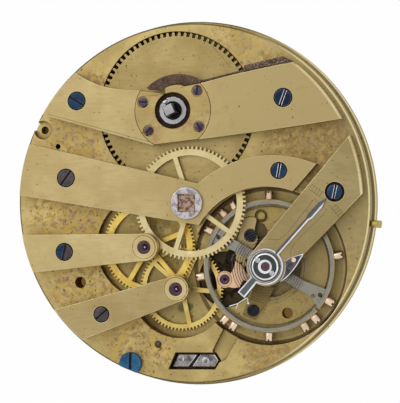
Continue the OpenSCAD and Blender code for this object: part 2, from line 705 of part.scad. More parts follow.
module escapement_screws() color("midnightblue") {
    slotted_screw(pallet_screw_at, low_screw_r, low_head_h, pallet_seat_z, low_thread_r, low_screw_z, -52);
    slotted_screw(escape_screw_at, low_screw_r, low_head_h, escape_seat, low_thread_r, low_screw_z, 60);
}

// The dog screw's half head clears the plate's edge when it is turned inwards
module case_screw() color("royalblue") difference() {
    slotted_screw(polar(case_screw_dist, case_screw_a), case_head_r, 0.55, plate_h, screw_r, thread_z, 88);
    difference() {
        rod(centre_ax, plate_r + 5, plate_h - eps, plate_h + 2);
        rod(centre_ax, plate_r - 0.1, plate_h - 1, plate_h + 3);
    }
}

// The pin's shank is pressed into the plate, and its shoulder stands just outside the wall
module case_pin() color("peru") rotate(case_pin_a) translate([plate_r - case_pin_in, 0, case_pin_z])
    rotate([0, 90, 0]) {
        cylinder(r = case_shank_r, h = case_pin_in + case_shoulder + eps);
        translate([0, 0, case_pin_in + case_shoulder]) cylinder(r = case_pin_r, h = case_pin_l);
    }

module plate_pin() color("silver") rod(plate_pin_at, plate_pin_r, thread_z, plate_h + 0.15);

module slot_block() color("dimgray") translate([slot_at[0], slot_at[1], slot_floor]) {
    difference() {
        linear_extrude(slot_block_h) polygon(block_outline);
        translate([-1.7, -2, slot_block_h - 0.3]) rotate(-35) cube([0.35, 5, 1]);
    }
    for (d = block_domes) translate([d[0], d[1], slot_block_h - eps]) cylinder(r = dome_r, h = 0.2);
}

// Jewels and their settings

setting_z = bar_z + 0.05;
module jewel_ring(at, r_out, r_in, z0, z1) difference() {
    rod(at, r_out, z0, z1);
    rod(at, r_in + fit, z0 - 1, z1 + 1);
}

module jewel_settings() color("gold") {
    for (ax = [third_ax, fourth_ax]) jewel_ring(ax, setting_r, jewel_r, setting_z, bar_top);
    jewel_ring(escape_ax, low_setting_r, low_jewel_r, cock_low_z, cock_low_top);
}

module train_jewels() color("purple") {
    for (ax = [third_ax, fourth_ax]) jewel(ax, jewel_r, setting_z + 0.1, bar_top - 0.08, pivot_r + run);
    jewel(escape_ax, low_jewel_r, cock_low_z + 0.02, cock_low_top - 0.04, pivot_r + run);
}

module lower_jewels() color("crimson") for (j = lower_jewel_list)
    difference() {
        rod(j[0], lower_jewel_r, dial_sink, j[1]);
        rod(j[0], pivot_r + run, 0, plate_h);
    }

module balance_jewel() color("purple") difference() {
    rod(balance_ax, balance_jewel_r, cock_z + 0.1, bar_top);
    rod(balance_ax, pivot_r + run, cock_z - 1, bar_top + 1);
}

module end_stone() color("crimson") rod(balance_ax, end_stone_r, bar_top + 0.03, stone_top);

// Polished steel cap over the balance pivot
module end_cap() color("darkslategray") difference() {
    translate([balance_ax[0], balance_ax[1], bar_top]) {
        cylinder(r = cap_r, h = cap_t - 0.12);
        translate([0, 0, cap_t - 0.12 - 0.001]) cylinder(r1 = cap_r, r2 = cap_r - 0.12, h = 0.121);
    }
    rod(balance_ax, end_stone_r + fit, bar_top - 1, bar_top + 2);
    translate([balance_ax[0], balance_ax[1], stone_top])
        cylinder(r1 = end_stone_r + fit, r2 = sink_top_r, h = bar_top + cap_t - stone_top + 0.001);
    for (a = cap_screw_a) {
        rod(balance_ax + polar(cap_screw_dist, a), tiny_r + fit, bar_top - 1, bar_top + 2);
        rod(balance_ax + polar(cap_screw_dist, a), tiny_head_r + fit, cap_seat, bar_top + 2);
    }
}

module cap_screws() color("slategray") {
    for (a = cap_screw_a) slotted_screw(balance_ax + polar(cap_screw_dist, a), tiny_head_r, 0.16,
        cap_seat, tiny_r, bar_top - 0.45, 48);
    slotted_screw(carrier_screw_at, tiny_head_r, 0.16, bar_top + carrier_t, tiny_r, bar_top - 0.45, 20);
}

// Leaf-shaped carrier beside the regulator, with the stud of the hairspring under its tip
carrier_t = 0.3;
carrier_screw_at = balance_ax + [3.36, 0.8];
stud_a = 17;
carrier_outline = concat(
    sweep([0, 0], 2.32, -44, 15),
    [[2.8, 1.02], [3.45, 1.24], [4.5, 1.54], [3.78, 0.3]],
    arc([3.6, 0.05], [3.05, -0.66], [1.84, -1.78], 5));

hairspring_r0 = 0.82;
hairspring_end = hairspring_r0 + hairspring_pitch * hairspring_turns;
stud_r = 0.22;
stud_pin_r = 0.08;
stud_pin_top = bar_top + carrier_t - 0.1;
stud_at = balance_ax + polar(hairspring_end, stud_a);

module stud_carrier() color("slategray") difference() {
    plate_between(bar_top, bar_top + carrier_t) polygon(moved(carrier_outline, balance_ax));
    rod(carrier_screw_at, tiny_r + fit, bar_top - 1, bar_top + 1);
    rod(stud_at, stud_pin_r + fit, bar_top - 1, stud_pin_top + fit);
}

// The stud is split for the end of the strip
module hairspring_stud() color("silver") difference() {
    union() {
        rod(stud_at, stud_r, hairspring_z - 0.1, bar_top);
        rod(stud_at, stud_pin_r, bar_top - eps, stud_pin_top);
    }
    translate([balance_ax[0], balance_ax[1], hairspring_z - 0.2]) rotate(stud_a)
        translate([hairspring_end - hairspring_t / 2 - fit, -1, 0])
            cube([hairspring_t + 2 * fit, 2, hairspring_h + 0.25]);
}

module minute_post() color("silver")
    rod(minute_ax, minute_post_r, minute_z - minute_step - 0.3, dial_sink + post_sunk);

// Barrel and winding

drum_r = barrel_m * (barrel_n / 2 - barrel_ded) - 0.7;
core_r = 1.85;
low_pivot_r = 0.8;
lid_bore_r = 1.2;
lid_t = 0.3;
module barrel_drum() color("gold") difference() {
    translate([barrel_ax[0], barrel_ax[1], 0]) union() {
        plate_between(barrel_top - barrel_tooth_t, barrel_top)
            rotate(barrel_a + 180 + 180 / barrel_n)
                wheel_outline(barrel_n, barrel_m, centre_leaves, barrel_add, barrel_ded);
        cylinder_between(drum_r, barrel_z, barrel_top - barrel_tooth_t + eps);
    }
    rod(barrel_ax, drum_r - barrel_wall, barrel_z - 1, barrel_top - barrel_wall);
    rod(barrel_ax, winding_r + run, barrel_z, barrel_top + 1);
}
module cylinder_between(r, z0, z1) { translate([0, 0, z0]) cylinder(r = r, h = z1 - z0); }

module barrel_lid() color("gold") difference() {
    rod(barrel_ax, drum_r - barrel_wall - fit, barrel_z, barrel_z + lid_t);
    rod(barrel_ax, lid_bore_r + run, barrel_z - 1, barrel_top);
}

mainspring_r0 = core_r + 0.2;
mainspring_turns = floor(10 * (drum_r - barrel_wall - 0.15 - mainspring_r0) / mainspring_pitch) / 10;
module mainspring() color("steelblue") translate([barrel_ax[0], barrel_ax[1], 0])
    plate_between(barrel_z + lid_t + 0.08, barrel_top - barrel_wall - 0.08)
        spiral_strip(mainspring_r0, mainspring_pitch, mainspring_turns, mainspring_t, 30);

// Arbor of the barrel, with the square that the key turns in a moat for the key's pipe
moat_r = 1.05;
moat_z = bar_top - 0.7;
module barrel_arbor() color("lightsteelblue") {
    rod(barrel_ax, low_pivot_r, dial_sink, barrel_z + eps);
    rod(barrel_ax, lid_bore_r, barrel_z, barrel_z + lid_t + 0.06);
    rod(barrel_ax, core_r, barrel_z + lid_t + 0.05, barrel_top - barrel_wall - 0.05);
    difference() {
        rod(barrel_ax, winding_r, barrel_top - barrel_wall - 0.06, bar_top - 0.1);
        rod(barrel_ax, moat_r, moat_z, bar_top + 1);
    }
    translate([barrel_ax[0], barrel_ax[1], moat_z - eps]) rotate(24)
        translate([-winding_sq / 2, -winding_sq / 2, 0])
            cube([winding_sq, winding_sq, bar_top + winding_sq_h - moat_z + eps]);
}

// The click's nose lies in a gap of the ratchet, at nose_a about the barrel axis
nose_a = 114;
ratchet_root = ratchet_r - ratchet_tooth;
ratchet_step = 360 / ratchet_n;
module ratchet_wheel() color("slategray") translate([barrel_ax[0], barrel_ax[1], ratchet_z]) difference() {
    linear_extrude(ratchet_t) rotate(nose_a - ratchet_step * 0.08)
        polygon([for (i = [0:ratchet_n - 1])
            for (q = [[ratchet_root, 0], [ratchet_r, 0.78], [ratchet_r, 0.9]])
            polar(q[0], ratchet_step * (i + q[1]))]);
    translate([0, 0, -1]) cylinder(r = winding_r + fit, h = 3);
}

nose_r = ratchet_root + 0.09;
click_outline = concat(
    [polar(nose_r, nose_a), polar(nose_r + 0.6, nose_a + 2.5), [-2.9, 2.42]],
    arc([-3.2, 2.7], [-0.4, 4.18], [3.2, 3.55], 10),
    arc([3.6, 3.52], [8, 4.56], [8.25, 4.62], 6),
    [[8.5, 5.15], [12.95, 6.1], [14.05, 5.6]],
    arc([13.9, 5.5], [8.1, 4.37], [3.7, 3.3], 6),
    [[1.35, 3.05]],
    arc([1.05, 3.12], [0.3, 3.14], [-0.6, 2.96], 4),
    [polar(ratchet_r + side, nose_a - 3)]);
module click_spring() color("dimgray") {
    plate_between(ratchet_z, ratchet_z + ratchet_t) polygon(moved(click_outline, barrel_ax));
    rod(click_pivot, click_pin_r, ratchet_z - 0.6, ratchet_z + eps);
}

// Centre wheel and hand setting

centre_bore = 0.34;
centre_pinion_z = barrel_top - barrel_tooth_t - 0.1;
module centre_wheel() color("gold") plate_between(centre_z, centre_z + wheel_t)
    crossed_wheel(centre_n, centre_m, third_leaves, 1 + fit, 1.8, third_a + 180 / centre_n, 36.5);

module centre_pinion() color("silver") difference() {
    union() {
        plate_between(centre_pinion_z, barrel_top + 0.1) rotate(barrel_a)
            pinion_outline(centre_leaves, barrel_m);
        rod(centre_ax, 1, barrel_top, centre_z + wheel_t + 0.1);
        rod(centre_ax, centre_pivot_r, dial_sink + 0.02, bar_top - 0.02);
    }
    rod(centre_ax, centre_bore, -1, bar_top + 1);
}

setting_head_r = 1.88;
setting_sq = 1.9;
module setting_arbor() color("lightsteelblue") difference() {
    union() {
        rod(centre_ax, setting_head_r, bar_top + 0.04, bar_top + 0.5);
        rod(centre_ax, centre_bore - fit, 0.1 - cannon_l, bar_top + 0.05);
    }
    translate([-setting_sq / 2, -setting_sq / 2, bar_top + 0.2]) cube([setting_sq, setting_sq, 1]);
}

cannon_z = dial_sink - 0.5;
cannon_t = 0.4;
module cannon_pinion() color("silver") difference() {
    union() {
        plate_between(cannon_z, cannon_z + cannon_t) rotate(minute_a) pinion_outline(cannon_leaves, cannon_m);
        rod(centre_ax, cannon_r, -hour_pipe_l - run, cannon_z + eps);
        rod(centre_ax, minute_seat_r, -cannon_l, eps - hour_pipe_l - run);
    }
    rod(centre_ax, centre_bore, -cannon_l - 1, dial_sink);
}

// Third, fourth and escape wheels

// A pinion with its arbor and two pivots
module pinion_arbor(ax, leaves, m, leaf_a, leaf_z, leaf_h, low, high, low_tip, high_tip) {
    translate([ax[0], ax[1], 0]) plate_between(leaf_z, leaf_z + leaf_h) rotate(leaf_a)
        pinion_outline(leaves, m);
    rod(ax, min(arbor_r, m * (leaves / 2 - leaf_ded)), low, high);
    rod(ax, pivot_r, low_tip, high_tip);
}

module third_wheel() color("gold") translate([third_ax[0], third_ax[1], 0])
    plate_between(third_z, third_z + wheel_t)
        crossed_wheel(third_n, third_m, fourth_leaves, arbor_r + fit, 1.25, fourth_a + 180 / third_n, 23);
module third_pinion() color("silver")
    pinion_arbor(third_ax, third_leaves, centre_m, third_a + 180, centre_z - 0.1, wheel_t + 0.2,
        third_z - side + 0.04, setting_z + 0.04, dial_sink + 0.1, bar_top - 0.4);

// The fourth wheel's rim is narrower than the others
fourth_rim = wheel_rim * 0.7;
module fourth_wheel() color("gold") translate([fourth_ax[0], fourth_ax[1], 0])
    plate_between(fourth_z, fourth_z + wheel_t)
        crossed_wheel(fourth_n, fourth_m, escape_leaves, arbor_r + fit, 1.15,
            escape_a + 180 / fourth_n, 66.7, fourth_rim);
module fourth_pinion() color("silver")
    pinion_arbor(fourth_ax, fourth_leaves, third_m, fourth_a + 180, third_z - 0.1, wheel_t + 0.2,
        fourth_z - side + 0.04, setting_z + 0.04, dial_sink + 0.1, bar_top - 0.4);

escape_arbor_r = fourth_m * (escape_leaves / 2 - leaf_ded);
escape_teeth = 15;
escape_root = escape_r - 0.5;
// Turn of the wheel at rest, in teeth, with both stones clear of it
escape_rest = -0.135;
module escape_wheel() color("lightsteelblue") translate([escape_ax[0], escape_ax[1], 0])
    plate_between(escape_z, escape_z + escape_t) rotate(pallet_a + escape_rest * 360 / escape_teeth)
    difference() {
        polygon([for (i = [0:escape_teeth - 1])
            for (q = [[escape_root, -0.04], [escape_r, 0.1], [escape_r, 0.16], [escape_root, 0.36]])
                polar(q[0], 360 / escape_teeth * (i + q[1]))]);
        difference() {
            circle(r = escape_root - 0.3);
            circle(r = 0.7);
            for (k = [0:3]) rotate(90 * k) translate([0, -0.18]) square([escape_root, 0.36]);
        }
        circle(r = escape_arbor_r + fit);
    }
module escape_pinion() color("silver")
    pinion_arbor(escape_ax, escape_leaves, fourth_m, escape_a + 180, fourth_z - 0.1, wheel_t + 0.2,
        floor_z + 0.05, cock_low_z - 0.02, dial_sink + 0.1, cock_low_top - 0.2);

// Lever and balance

stone_a = [30, -30];
stone_depth = 0.1;
stone_l = 0.8;
module on_stone(i) translate(escape_ax) rotate(pallet_a + stone_a[i]) children();
fork_l = lever_l - 0.42;
fork_w = 0.5;
pin_r = 0.11;
pallet_arbor_r = 0.2;

module lever_layer() plate_between(escape_z, escape_z + escape_t) children();
module pallet_lever() color("lightgray") difference() {
    union() {
        rod(pallet_ax, 0.5, escape_z, escape_z + escape_t);
        lever_layer() translate(pallet_ax) rotate(lever_a)
            polygon([[0, 0.28], [fork_l - 0.9, 0.16], [fork_l - 0.6, fork_w], [fork_l, fork_w],
                [fork_l, -fork_w], [fork_l - 0.6, -fork_w], [fork_l - 0.9, -0.16], [0, -0.28]]);
        for (i = [0, 1]) {
            lever_layer() on_stone(i) translate([escape_r + 0.2, -stone_w]) square([stone_l, 2 * stone_w]);
            lever_layer() polygon([pallet_ax + polar(0.45, pallet_a), pallet_ax + polar(0.45, pallet_a + 180),
                escape_ax + polar(escape_r + 0.22, pallet_a + stone_a[i]),
                escape_ax + polar(escape_r + stone_l - 0.1, pallet_a + stone_a[i])]);
        }
    }
    for (i = [0, 1]) translate([0, 0, -eps]) plate_between(escape_z, escape_z + escape_t + 2 * eps)
        on_stone(i) translate([escape_r - 1, -stone_w / 2 - fit / 2])
            square([stone_l + 1 + fit, stone_w + fit]);
    rod(pallet_ax, pallet_arbor_r + fit, floor_z, recess_z);
    plate_between(floor_z, recess_z) translate(pallet_ax) rotate(lever_a)
        translate([fork_l - 0.5, -pin_r - 0.04]) square([1, 2 * pin_r + 0.08]);
}
module pallet_stones() color("crimson") plate_between(escape_z, escape_z + escape_t) for (i = [0, 1])
    on_stone(i) translate([escape_r - stone_depth, -stone_w / 2]) square([stone_l + stone_depth, stone_w]);
module pallet_arbor() color("silver") {
    rod(pallet_ax, pallet_arbor_r, floor_z + 0.05, pallet_low - 0.05);
    rod(pallet_ax, pivot_r, dial_sink + 0.1, pallet_top - 0.1);
}

cut_w = 0.3;
cut_a = -11;
screw_angles = [for (a = [90, 50, 59, 9, -30, -48, -59]) for (b = [0, 180]) a + b];
screw_z = rim_z + rim_h / 2 - 0.02;
// The cut that frees one end of each half of the rim
module rim_cuts() for (b = [0, 180]) rotate(balance_arm_a + cut_a + b)
    translate([rim_in_r - 1, -cut_w / 2]) square([3, cut_w]);
module rim_holes() for (a = screw_angles) rotate(a) translate([rim_in_r - 0.1, 0, screw_z]) rotate([0, 90, 0])
    cylinder(r = screw_shank_r + fit, h = 3);
screw_shank_r = 0.17;
// Half of the balance's arms, along X to the rim, which flares out at its end
arm_outline = [[0, -balance_arm_w / 2], [5.6, -balance_arm_w / 2], [6.4, -0.75], [rim_in_r - 0.1, -1.15],
    [rim_in_r + 0.1, -1.15], [rim_in_r + 0.1, 1.05], [4.6, balance_arm_w / 2], [0, balance_arm_w / 2]];
arm_holes = [[6.2, -0.42], [6.85, 0.12]];
arm_hole_r = 0.26;

module balance_wheel() color("lightgray") translate([balance_ax[0], balance_ax[1], 0]) difference() {
    union() {
        plate_between(rim_z, rim_z + rim_h) difference() {
            circle(r = rim_mid_r);
            circle(r = rim_in_r);
            rim_cuts();
        }
        cylinder_between(1.1, arm_z, arm_z + arm_t);
        for (b = [0, 180]) plate_between(arm_z, arm_z + arm_t) rotate(balance_arm_a + b) polygon(arm_outline);
    }
    cylinder_between(staff_r + fit, 0, 9);
    for (b = [0, 180]) for (h = arm_holes) rotate(balance_arm_a + b) translate([h[0], h[1], arm_z - 1])
        cylinder(r = arm_hole_r, h = arm_t + 2);
    rim_holes();
}

module balance_rim() color("peru") translate([balance_ax[0], balance_ax[1], 0]) difference() {
    plate_between(rim_z, rim_z + rim_h) difference() {
        circle(r = rim_out_r);
        circle(r = rim_mid_r + 0.002);
        rim_cuts();
    }
    rim_holes();
}

module balance_screws() color("rosybrown") translate([balance_ax[0], balance_ax[1], screw_z])
    for (a = screw_angles) rotate(a) rotate([0, 90, 0]) difference() {
        union() {
            translate([0, 0, rim_in_r + 0.05]) cylinder(r = screw_shank_r, h = rim_out_r - rim_in_r);
            translate([0, 0, rim_out_r + 0.03]) cylinder(r = balance_screw_r, h = balance_screw_l);
        }
        translate([-1, -slot_w / 2, rim_out_r + balance_screw_l - 0.15]) cube([2, slot_w, 1]);
    }

staff_r = 0.4;
module balance_staff() color("silver") {
    rod(balance_ax, 0.24, floor_z + 0.05, roller_z);
    rod(balance_ax, staff_r, roller_z - 0.01, hairspring_z + hairspring_h + 0.1);
    rod(balance_ax, pivot_r, dial_sink + 0.1, bar_top - 0.02);
}

roller_r = 0.85;
roller_t = 0.2;
module impulse_roller() color("lightsteelblue") difference() {
    rod(balance_ax, roller_r, roller_z, roller_z + roller_t);
    rod(balance_ax, staff_r + fit, roller_z - 1, roller_z + 1);
    rod(balance_ax + polar(impulse_r, lever_a + 180), pin_r + fit / 2, roller_z - 1, roller_z + 1);
}
module impulse_pin() color("crimson")
    rod(balance_ax + polar(impulse_r, lever_a + 180), pin_r, escape_z + 0.03, roller_z + roller_t);

// Flat spiral of one strip, pinned in the collet and in the stud
module hairspring() color("steelblue") translate([balance_ax[0], balance_ax[1], 0])
    plate_between(hairspring_z, hairspring_z + hairspring_h)
        spiral_strip(hairspring_r0, hairspring_pitch, hairspring_turns, hairspring_t, stud_a);
// Least gap between neighbouring coils, measured on points of the strip's middle line
function coil_gap(r0, pitch, turns, t) = min([for (i = [0:32 * (turns - 1)]) let (f = i / 32)
    norm(polar(spiral_r(r0, pitch, f + 1), 360 * f) - polar(spiral_r(r0, pitch, f), 360 * f)) - t]);
echo(hairspring_least_gap = coil_gap(hairspring_r0, hairspring_pitch, hairspring_turns, hairspring_t));
echo(mainspring_least_gap = coil_gap(mainspring_r0, mainspring_pitch, mainspring_turns, mainspring_t));

module hairspring_collet() color("gold") difference() {
    rod(balance_ax, hairspring_r0 - hairspring_t / 2 - fit, hairspring_z - 0.05,
        hairspring_z + hairspring_h + 0.08);
    rod(balance_ax, staff_r + fit, 0, bar_top);
    translate([balance_ax[0], balance_ax[1], hairspring_z - 1]) rotate(100)
        translate([0, -0.06, 0]) cube([2, 0.12, 2]);
}

// Regulator: a ring round the cap, a pointer over the cock and a tail with two pins for the strip
ring_in_r = 1.66;
ring_out_r = 2.1;
pointer_a = 48;
pointer_l = 10.6;
pointer_half = [[0, 0.26], [2.6, 0.23], [7.3, 0.19], [7.8, 0.34], [9.5, 0.32]];
tail_a = 229.2;
tail_l = 4.35;
tail_half = [[0, 0.42], [tail_l, 0.52]];
curb_r = 0.1;
curb_dist = hairspring_end - hairspring_pitch * ((stud_a + 360 - tail_a) / 360);
curb_gap = hairspring_t / 2 + curb_r + 0.03;
module regulator() color("lightgray") {
    translate([balance_ax[0], balance_ax[1], regulator_z]) difference() {
        linear_extrude(regulator_t) difference() {
            union() {
                circle(r = ring_out_r);
                rotate(pointer_a) polygon(both_sides(concat(pointer_half, [[pointer_l, 0.02]])));
                rotate(tail_a) polygon(both_sides(tail_half));
            }
            circle(r = ring_in_r);
        }
    }
    for (s = [-1, 1])
        rod(balance_ax + polar(curb_dist + s * curb_gap, tail_a), curb_r,
            hairspring_z - 0.05, regulator_z + eps);
}

// Dial work under the plate

minute_z = cannon_z + 0.05;
minute_t = 0.28;
minute_step = 0.42;
hour_z = minute_z - minute_step + 0.08;
module minute_wheel() color("gold") translate([minute_ax[0], minute_ax[1], 0]) difference() {
    union() {
        plate_between(minute_z, minute_z + minute_t) rotate(minute_a + 180 + 180 / minute_n)
            wheel_outline(minute_n, cannon_m, cannon_leaves);
        plate_between(minute_z - minute_step, minute_z + eps) rotate(minute_a + 180)
            pinion_outline(minute_leaves, hour_m);
    }
    cylinder_between(minute_post_r + run, -1, dial_sink);
}

module hour_wheel() color("gold") difference() {
    union() {
        plate_between(hour_z, hour_z + minute_t) rotate(minute_a + 180 / hour_n)
            wheel_outline(hour_n, hour_m, minute_leaves);
        rod(centre_ax, hour_pipe_r, -hour_pipe_l, hour_z + eps);
    }
    rod(centre_ax, cannon_r + run, -cannon_l, dial_sink);
}

main_plate();
barrel_bridge();
ratchet_cover();
centre_bridge();
third_wheel_bridge();
fourth_wheel_bridge();
escape_cock();
pallet_cock();
balance_cock();
bar_screws();
cock_screw();
ratchet_cover_screws();
escapement_screws();
case_screw();
jewel_settings();
train_jewels();
lower_jewels();
balance_jewel();
end_stone();
end_cap();
cap_screws();
stud_carrier();
hairspring_stud();
case_pin();
plate_pin();
slot_block();
minute_post();
barrel_drum();
barrel_lid();
mainspring();
barrel_arbor();
ratchet_wheel();
click_spring();
centre_wheel();
centre_pinion();
setting_arbor();
cannon_pinion();
third_wheel();
third_pinion();
fourth_wheel();
fourth_pinion();
escape_wheel();
escape_pinion();
pallet_lever();
pallet_stones();
pallet_arbor();
balance_wheel();
balance_rim();
balance_screws();
balance_staff();
impulse_roller();
impulse_pin();
hairspring();
hairspring_collet();
regulator();
minute_wheel();
hour_wheel();
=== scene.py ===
"""Looks of a key-wound pocket watch movement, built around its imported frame.

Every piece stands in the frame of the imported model, in metres. Sizes below are in millimetres where a
name ends in _mm, and are turned into metres where a mesh is made.
"""
import json
import logging
import math
from contextlib import contextmanager
from dataclasses import dataclass
from enum import Enum
from functools import cache
from typing import Any, Callable, Iterator, Sequence, Union

import bpy
from mathutils import Matrix, Vector


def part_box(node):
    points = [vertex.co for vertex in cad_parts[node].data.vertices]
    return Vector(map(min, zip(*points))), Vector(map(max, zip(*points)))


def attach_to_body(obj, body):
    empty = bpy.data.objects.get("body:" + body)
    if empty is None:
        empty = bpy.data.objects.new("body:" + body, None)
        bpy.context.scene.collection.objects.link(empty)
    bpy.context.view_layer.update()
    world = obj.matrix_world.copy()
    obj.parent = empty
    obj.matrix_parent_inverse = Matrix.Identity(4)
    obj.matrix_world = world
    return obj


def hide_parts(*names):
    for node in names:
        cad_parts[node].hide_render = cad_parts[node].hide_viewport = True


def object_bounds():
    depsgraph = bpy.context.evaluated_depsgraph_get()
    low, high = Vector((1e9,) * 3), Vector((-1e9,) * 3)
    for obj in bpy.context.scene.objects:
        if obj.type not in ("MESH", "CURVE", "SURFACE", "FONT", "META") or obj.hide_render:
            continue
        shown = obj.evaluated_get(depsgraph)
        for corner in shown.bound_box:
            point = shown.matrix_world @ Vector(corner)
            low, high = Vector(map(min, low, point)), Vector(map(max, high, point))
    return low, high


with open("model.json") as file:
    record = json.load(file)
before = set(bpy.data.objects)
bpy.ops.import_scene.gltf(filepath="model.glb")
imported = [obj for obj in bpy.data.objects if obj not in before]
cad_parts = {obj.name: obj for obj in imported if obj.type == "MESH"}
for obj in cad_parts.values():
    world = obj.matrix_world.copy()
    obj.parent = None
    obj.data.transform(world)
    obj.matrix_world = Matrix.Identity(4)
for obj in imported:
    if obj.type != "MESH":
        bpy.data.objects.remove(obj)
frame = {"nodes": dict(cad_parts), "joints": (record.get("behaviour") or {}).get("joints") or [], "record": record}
CAD_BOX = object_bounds()

LOG = logging.getLogger("movement")
MM = 0.001
MERGE_M = 1e-6
NEAR_MM = 0.01
ANY = (-math.inf, math.inf)
SLOPING = (0.2, 0.95)
LEVEL = (0.95, math.inf)

Colour = tuple[float, float, float]
Value = Union["Shade", float, Sequence[float]]
Key = Union[str, int]
Place = tuple[float, float]
Rows = tuple[tuple[float, ...], ...]
Piece = bpy.types.Object
Material = bpy.types.Material
Faces = list[bpy.types.MeshPolygon]
FaceTest = Callable[[Vector, Vector], bool]

SCREWS_MM: dict[str, Place] = {
    "barrel_left": (-13.4, 12.05), "barrel_right": (11.3, 12.15), "centre_left": (-14.72, 2.97),
    "centre_right": (10.81, 3.75), "third": (-14.91, -5.76), "fourth": (-10.37, -13.07), "cock": (17.29, 1.3)}


def rgb(red: float, green: float, blue: float) -> Colour:
    """Turn a colour as a screen shows it, in parts from 0 to 255, into the linear one that shaders take."""
    shares = (part / 255 for part in (red, green, blue))
    return tuple(s / 12.92 if s <= 0.04045 else ((s + 0.055) / 1.055) ** 2.4 for s in shares)


def signed(operation: str, swapped: bool = False) -> Callable[["Shade", Value], "Shade"]:
    """Make the method of one sign.

    Args:
        operation: Operation of the Math node that the sign adds.
        swapped: Whether the shade stands to the right of the sign.

    Returns:
        The method.
    """
    def method(shade: "Shade", other: Value) -> "Shade":
        """Add the Math node."""
        pair = (other, shade) if swapped else (shade, other)
        return shade.writer.node("ShaderNodeMath", {"operation": operation}, dict(enumerate(pair)))
    return method


class Shade:
    """A shader socket that can stand in an expression; each sign adds one Math node."""

    def __init__(self, writer: "Writer", socket: bpy.types.NodeSocket) -> None:
        """Keep the socket and the writer that made it."""
        self.writer = writer
        self.socket = socket

    __add__ = signed("ADD")
    __radd__ = signed("ADD", True)
    __sub__ = signed("SUBTRACT")
    __rsub__ = signed("SUBTRACT", True)
    __mul__ = signed("MULTIPLY")
    most = signed("MAXIMUM")


class Writer:
    """Writes nodes and links into one node tree."""

    def __init__(self, tree: bpy.types.NodeTree) -> None:
        """Keep the tree that is written to."""
        self.tree = tree

    def feed(self, socket: bpy.types.NodeSocket, value: Value) -> None:
        """Link a shade to a socket, or set the socket's plain value."""
        if isinstance(value, Shade):
            self.tree.links.new(value.socket, socket)
        else:
            socket.default_value = value

    def node(self, kind: str, settings: dict[str, Any] | None = None,
             links: dict[Key, Value] | None = None, out: Key = 0) -> Shade:
        """Add any node.

        Args:
            kind: Type of the node.
            settings: Properties that are set first.
            links: Values or links of its input sockets.
            out: The output socket that is returned.

        Returns:
            The chosen output.
        """
        made = self.tree.nodes.new(kind)
        for key, value in (settings or {}).items():
            setattr(made, key, value)
        for key, value in (links or {}).items():
            self.feed(made.inputs[key], value)
        return Shade(self, made.outputs[out])

    def backdrop(self, share: float, plain: Shade, shown: Shade, end: str) -> None:
        """Show one shader to the rays that see, mirror or pass to the backdrop, and another to the rest.

        Args:
            share: Share of the shown one for such rays.
            plain: Shader for all other rays.
            shown: Shader of the backdrop.
            end: The tree's output node.
        """
        seen, mirrored, through = (self.node("ShaderNodeLightPath", out=f"Is {kind} Ray")
                                   for kind in ("Camera", "Glossy", "Transmission"))
        rays = seen.most(mirrored).most(through) * share
        both = self.node("ShaderNodeMixShader", links={0: rays, 1: plain, 2: shown})
        self.feed(self.tree.nodes[end].inputs["Surface"], both)


